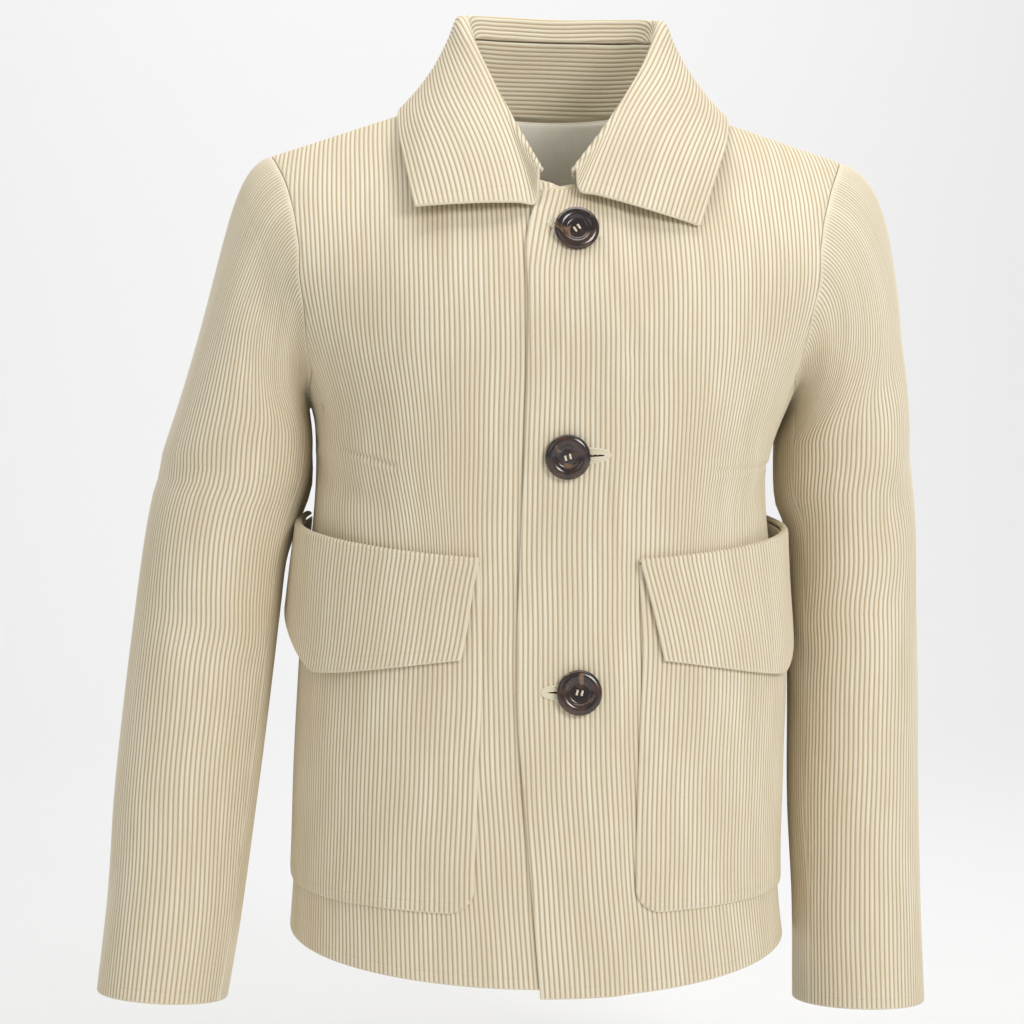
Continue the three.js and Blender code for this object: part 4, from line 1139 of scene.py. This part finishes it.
class JACKET_OT_fronts(bpy.types.Operator):
    """Make the two fronts, the left one lapping over the right"""
    bl_idname = "jacket.fronts"
    bl_label = "Fronts"

    def execute(self, context):
        darts = {-1: ((-157, -222), (-108, -239)), 1: ((136, -234), (86, -241))}
        for side, name in ((1, "front_left"), (-1, "front_right")):
            grid, starts = front_grid(side)
            lines = [(*darts[side], 0.9, 1.1)] + (LAP_CREASES if side > 0 else [])
            piece, cut = cloth_piece(name + "_cloth", grid, starts, side, cloth_finishes(),
                                     relief=lambda middle, s, t: sum(groove(middle, *line) for line in lines),
                                     lean=front_lean(side, grid))
            declare(name)
        return {"FINISHED"}


class JACKET_OT_back(bpy.types.Operator):
    """Make the back and the lining that shows through the neck"""
    bl_idname = "jacket.back"
    bl_label = "Back and lining"

    def execute(self, context):
        grid = back_grid()
        piece, cut = cloth_piece("back_cloth", grid, centred(grid), 1, cloth_finishes())
        declare("back")
        grid = lining_grid()
        piece, cut = cloth_piece("back_lining_cloth", grid, centred(grid), 1, (finish("lining_weave"), finish("lining_weave")),
                                 cloth=LINING_CLOTH, corded=False)
        declare("back_lining")
        return {"FINISHED"}


class JACKET_OT_sleeves(bpy.types.Operator):
    """Make the top and under part of each sleeve"""
    bl_idname = "jacket.sleeves"
    bl_label = "Sleeves"

    def execute(self, context):
        for side, hand, rows, folds in ((1, "left", SLEEVE_LEFT, FOLDS_LEFT), (-1, "right", SLEEVE_RIGHT, FOLDS_RIGHT)):
            grid, front, back = sleeve_grid(side, rows, folds)
            count = grid.shape[1]
            top = sleeve_part(grid, front, back)
            to_shoulder = lengths_along(top)[:, RIM_STEPS - front]
            piece, cut = cloth_piece(f"sleeve_top_{hand}_cloth", denser(top), -to_shoulder, -side, cloth_finishes())
            declare(f"sleeve_top_{hand}")
            under = sleeve_part(grid, back, count + front)
            piece, cut = cloth_piece(f"sleeve_under_{hand}_cloth", denser(under), centred(under), -side,
                                     cloth_finishes())
            declare(f"sleeve_under_{hand}")
        return {"FINISHED"}


class JACKET_OT_collar(bpy.types.Operator):
    """Make the collar's stand and fall"""
    bl_idname = "jacket.collar"
    bl_label = "Collar"

    def execute(self, context):
        grid = stand_grid()
        piece, cut = cloth_piece("collar_stand_cloth", grid, -lengths_along(grid)[:, -1], -1, cloth_finishes())
        declare("collar_stand")
        grid, starts = fall_grid()
        piece, cut = cloth_piece("collar_fall_cloth", grid, starts, -1, cloth_finishes(), cloth=COLLAR_CLOTH)
        declare("collar_fall")
        return {"FINISHED"}


class JACKET_OT_pockets(bpy.types.Operator):
    """Make the patch pockets and their turned-down cuffs"""
    bl_idname = "jacket.pockets"
    bl_label = "Pockets"

    def execute(self, context):
        for side, hand in ((1, "left"), (-1, "right")):
            grid, starts = pocket_grid(side)
            piece, cut = cloth_piece(f"pocket_{hand}_cloth", grid, starts, side, cloth_finishes(), sunk=0.45)
            declare(f"pocket_{hand}")
            grid = cuff_grid(side)
            piece, cut = cloth_piece(f"pocket_cuff_{hand}_cloth", grid, np.zeros(len(grid)), -side, cloth_finishes())
            declare(f"pocket_cuff_{hand}")
        return {"FINISHED"}


class JACKET_OT_buttons(bpy.types.Operator):
    """Make the horn buttons, their thread and their corded buttonholes"""
    bl_idname = "jacket.buttons"
    bl_label = "Buttons"

    def execute(self, context):
        for button in BUTTONS:
            name, x, level = button["name"], button["x"], button["level"]
            matrix = button_frame(x, level - button["lower"], LAP_OFFSET + CLOTH + BUTTON_SHANK + button["proud"],
                                  button["turn"], button["upright"])
            piece = joined(name + "_disc", [button_mesh(name + "_disc", matrix)], finish("dark_horn"))
            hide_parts(name)
            joined(name + "_thread", thread_meshes(name, matrix), finish("thread"))
            # Each buttonhole gets a dark strip under its cords that is painted shadow in its slit.
            joined(name.replace("button", "buttonhole") + "_slit",
                   [slit_shadow_mesh(name, x, level, button["hole"], button["tilt"])], finish("slit_painted_shadow"))
            joined(name.replace("button", "buttonhole") + "_cords",
                   hole_meshes(name, x, level, button["hole"], button["tilt"]), finish("thread"))
        return {"FINISHED"}


CAMERA_TURN = -5.0
CAMERA_ROLL = 0.4
CAMERA_AWAY = 1500
CAMERA_X = -30.5
CAMERA_Z = -266
CAMERA_LENS = 36 * 1500 / 665.6


def add_light(name, place, aim, size, power, tint=(1, 1, 1)):
    light = bpy.data.lights.new(name, "AREA")
    light.size = size
    light.energy = power
    light.color = tint
    lamp = bpy.data.objects.new(name, light)
    lamp.location = place
    lamp.rotation_euler = (Vector(aim) - Vector(place)).to_track_quat("-Z", "Y").to_euler()
    bpy.context.scene.collection.objects.link(lamp)


class JACKET_OT_stage(bpy.types.Operator):
    """Make the floor, the lights and the camera"""
    bl_idname = "jacket.stage"
    bl_label = "Stage"

    def execute(self, context):
        look = context.scene.jacket
        bm = bmesh.new()
        profile = [(-3.0, -0.68), (1.6, -0.68), (2.3, -0.56), (2.8, -0.15), (3.0, 0.6), (3.05, 3.2)]
        verts = [bm.verts.new((-4, y, z)) for y, z in profile]
        edges = [bm.edges.new(pair) for pair in zip(verts, verts[1:])]
        swept = bmesh.ops.extrude_edge_only(bm, edges=edges)
        moved = [part for part in swept["geom"] if isinstance(part, bmesh.types.BMVert)]
        bmesh.ops.translate(bm, verts=moved, vec=(8, 0, 0))
        for face in bm.faces:
            face.smooth = True
        mesh = bpy.data.meshes.new("floor")
        bm.to_mesh(mesh)
        bm.free()
        floor = bpy.data.objects.new("floor", mesh)
        context.scene.collection.objects.link(floor)
        bend = floor.modifiers.new("bend", "SUBSURF")
        bend.levels = bend.render_levels = 3
        material, _, _ = shader("floor", {"Base Color": rgba(look.floor), "Roughness": 0.9, "Specular IOR Level": 0.1})
        mesh.materials.append(material)
        world = bpy.data.worlds.new("studio")
        world.use_nodes = True
        world.node_tree.nodes["Background"].inputs["Color"].default_value = (1, 1, 1, 1)
        world.node_tree.nodes["Background"].inputs["Strength"].default_value = 0.4
        context.scene.world = world
        context.scene.view_settings.view_transform = "Standard"
        add_light("key", (0.95, -1.75, 0.45), (0, 0, -0.25), 0.7, look.key_power)
        add_light("fill", (-1.3, -1.7, 0.3), (0, 0, -0.25), 1.2, look.fill_power)
        add_light("backdrop", (0, 0.4, 2.2), (0, 2.6, -0.2), 2.5, look.backdrop_power)
        turn, roll = math.radians(CAMERA_TURN), math.radians(CAMERA_ROLL)
        forward = Vector((-math.sin(turn), math.cos(turn), 0))
        right = Vector((math.cos(turn), math.sin(turn), 0))
        aside = right * math.cos(roll) + Vector((0, 0, 1)) * math.sin(roll)
        up = aside.cross(forward)
        place = (aside * CAMERA_X + up * CAMERA_Z - forward * CAMERA_AWAY) * MM
        data = bpy.data.cameras.new("camera")
        data.sensor_width = 36
        data.lens = CAMERA_LENS
        camera = bpy.data.objects.new("camera", data)
        camera.matrix_world = Matrix.Translation(place) @ Matrix((aside, up, -forward)).transposed().to_4x4()
        context.scene.collection.objects.link(camera)
        context.scene.camera = camera
        return {"FINISHED"}


class JACKET_PT_panel(bpy.types.Panel):
    """Settings and pieces of the jacket"""
    bl_idname = "JACKET_PT_panel"
    bl_label = "Corduroy jacket"
    bl_space_type = "VIEW_3D"
    bl_region_type = "UI"
    bl_category = "Jacket"

    def draw(self, context):
        for name in JacketSettings.__annotations__:
            self.layout.prop(context.scene.jacket, name)
        for operator in OPERATORS:
            self.layout.operator(operator.bl_idname)


OPERATORS = (
    JACKET_OT_stage, JACKET_OT_fronts, JACKET_OT_back, JACKET_OT_sleeves, JACKET_OT_collar, JACKET_OT_pockets,
    JACKET_OT_buttons,
)


def register():
    for item in (JacketSettings, *OPERATORS, JACKET_PT_panel):
        bpy.utils.register_class(item)
    bpy.types.Scene.jacket = bpy.props.PointerProperty(type=JacketSettings)


def unregister():
    del bpy.types.Scene.jacket
    for item in (JACKET_PT_panel, *reversed(OPERATORS), JacketSettings):
        bpy.utils.unregister_class(item)


def main():
    register()
    Cord.pitch = bpy.context.scene.jacket.cord_pitch / MM
    Cord.height = bpy.context.scene.jacket.cord_height / MM
    for operator in OPERATORS:
        group, name = operator.bl_idname.split(".")
        getattr(getattr(bpy.ops, group), name)()


if __name__ == "__main__":
    main()
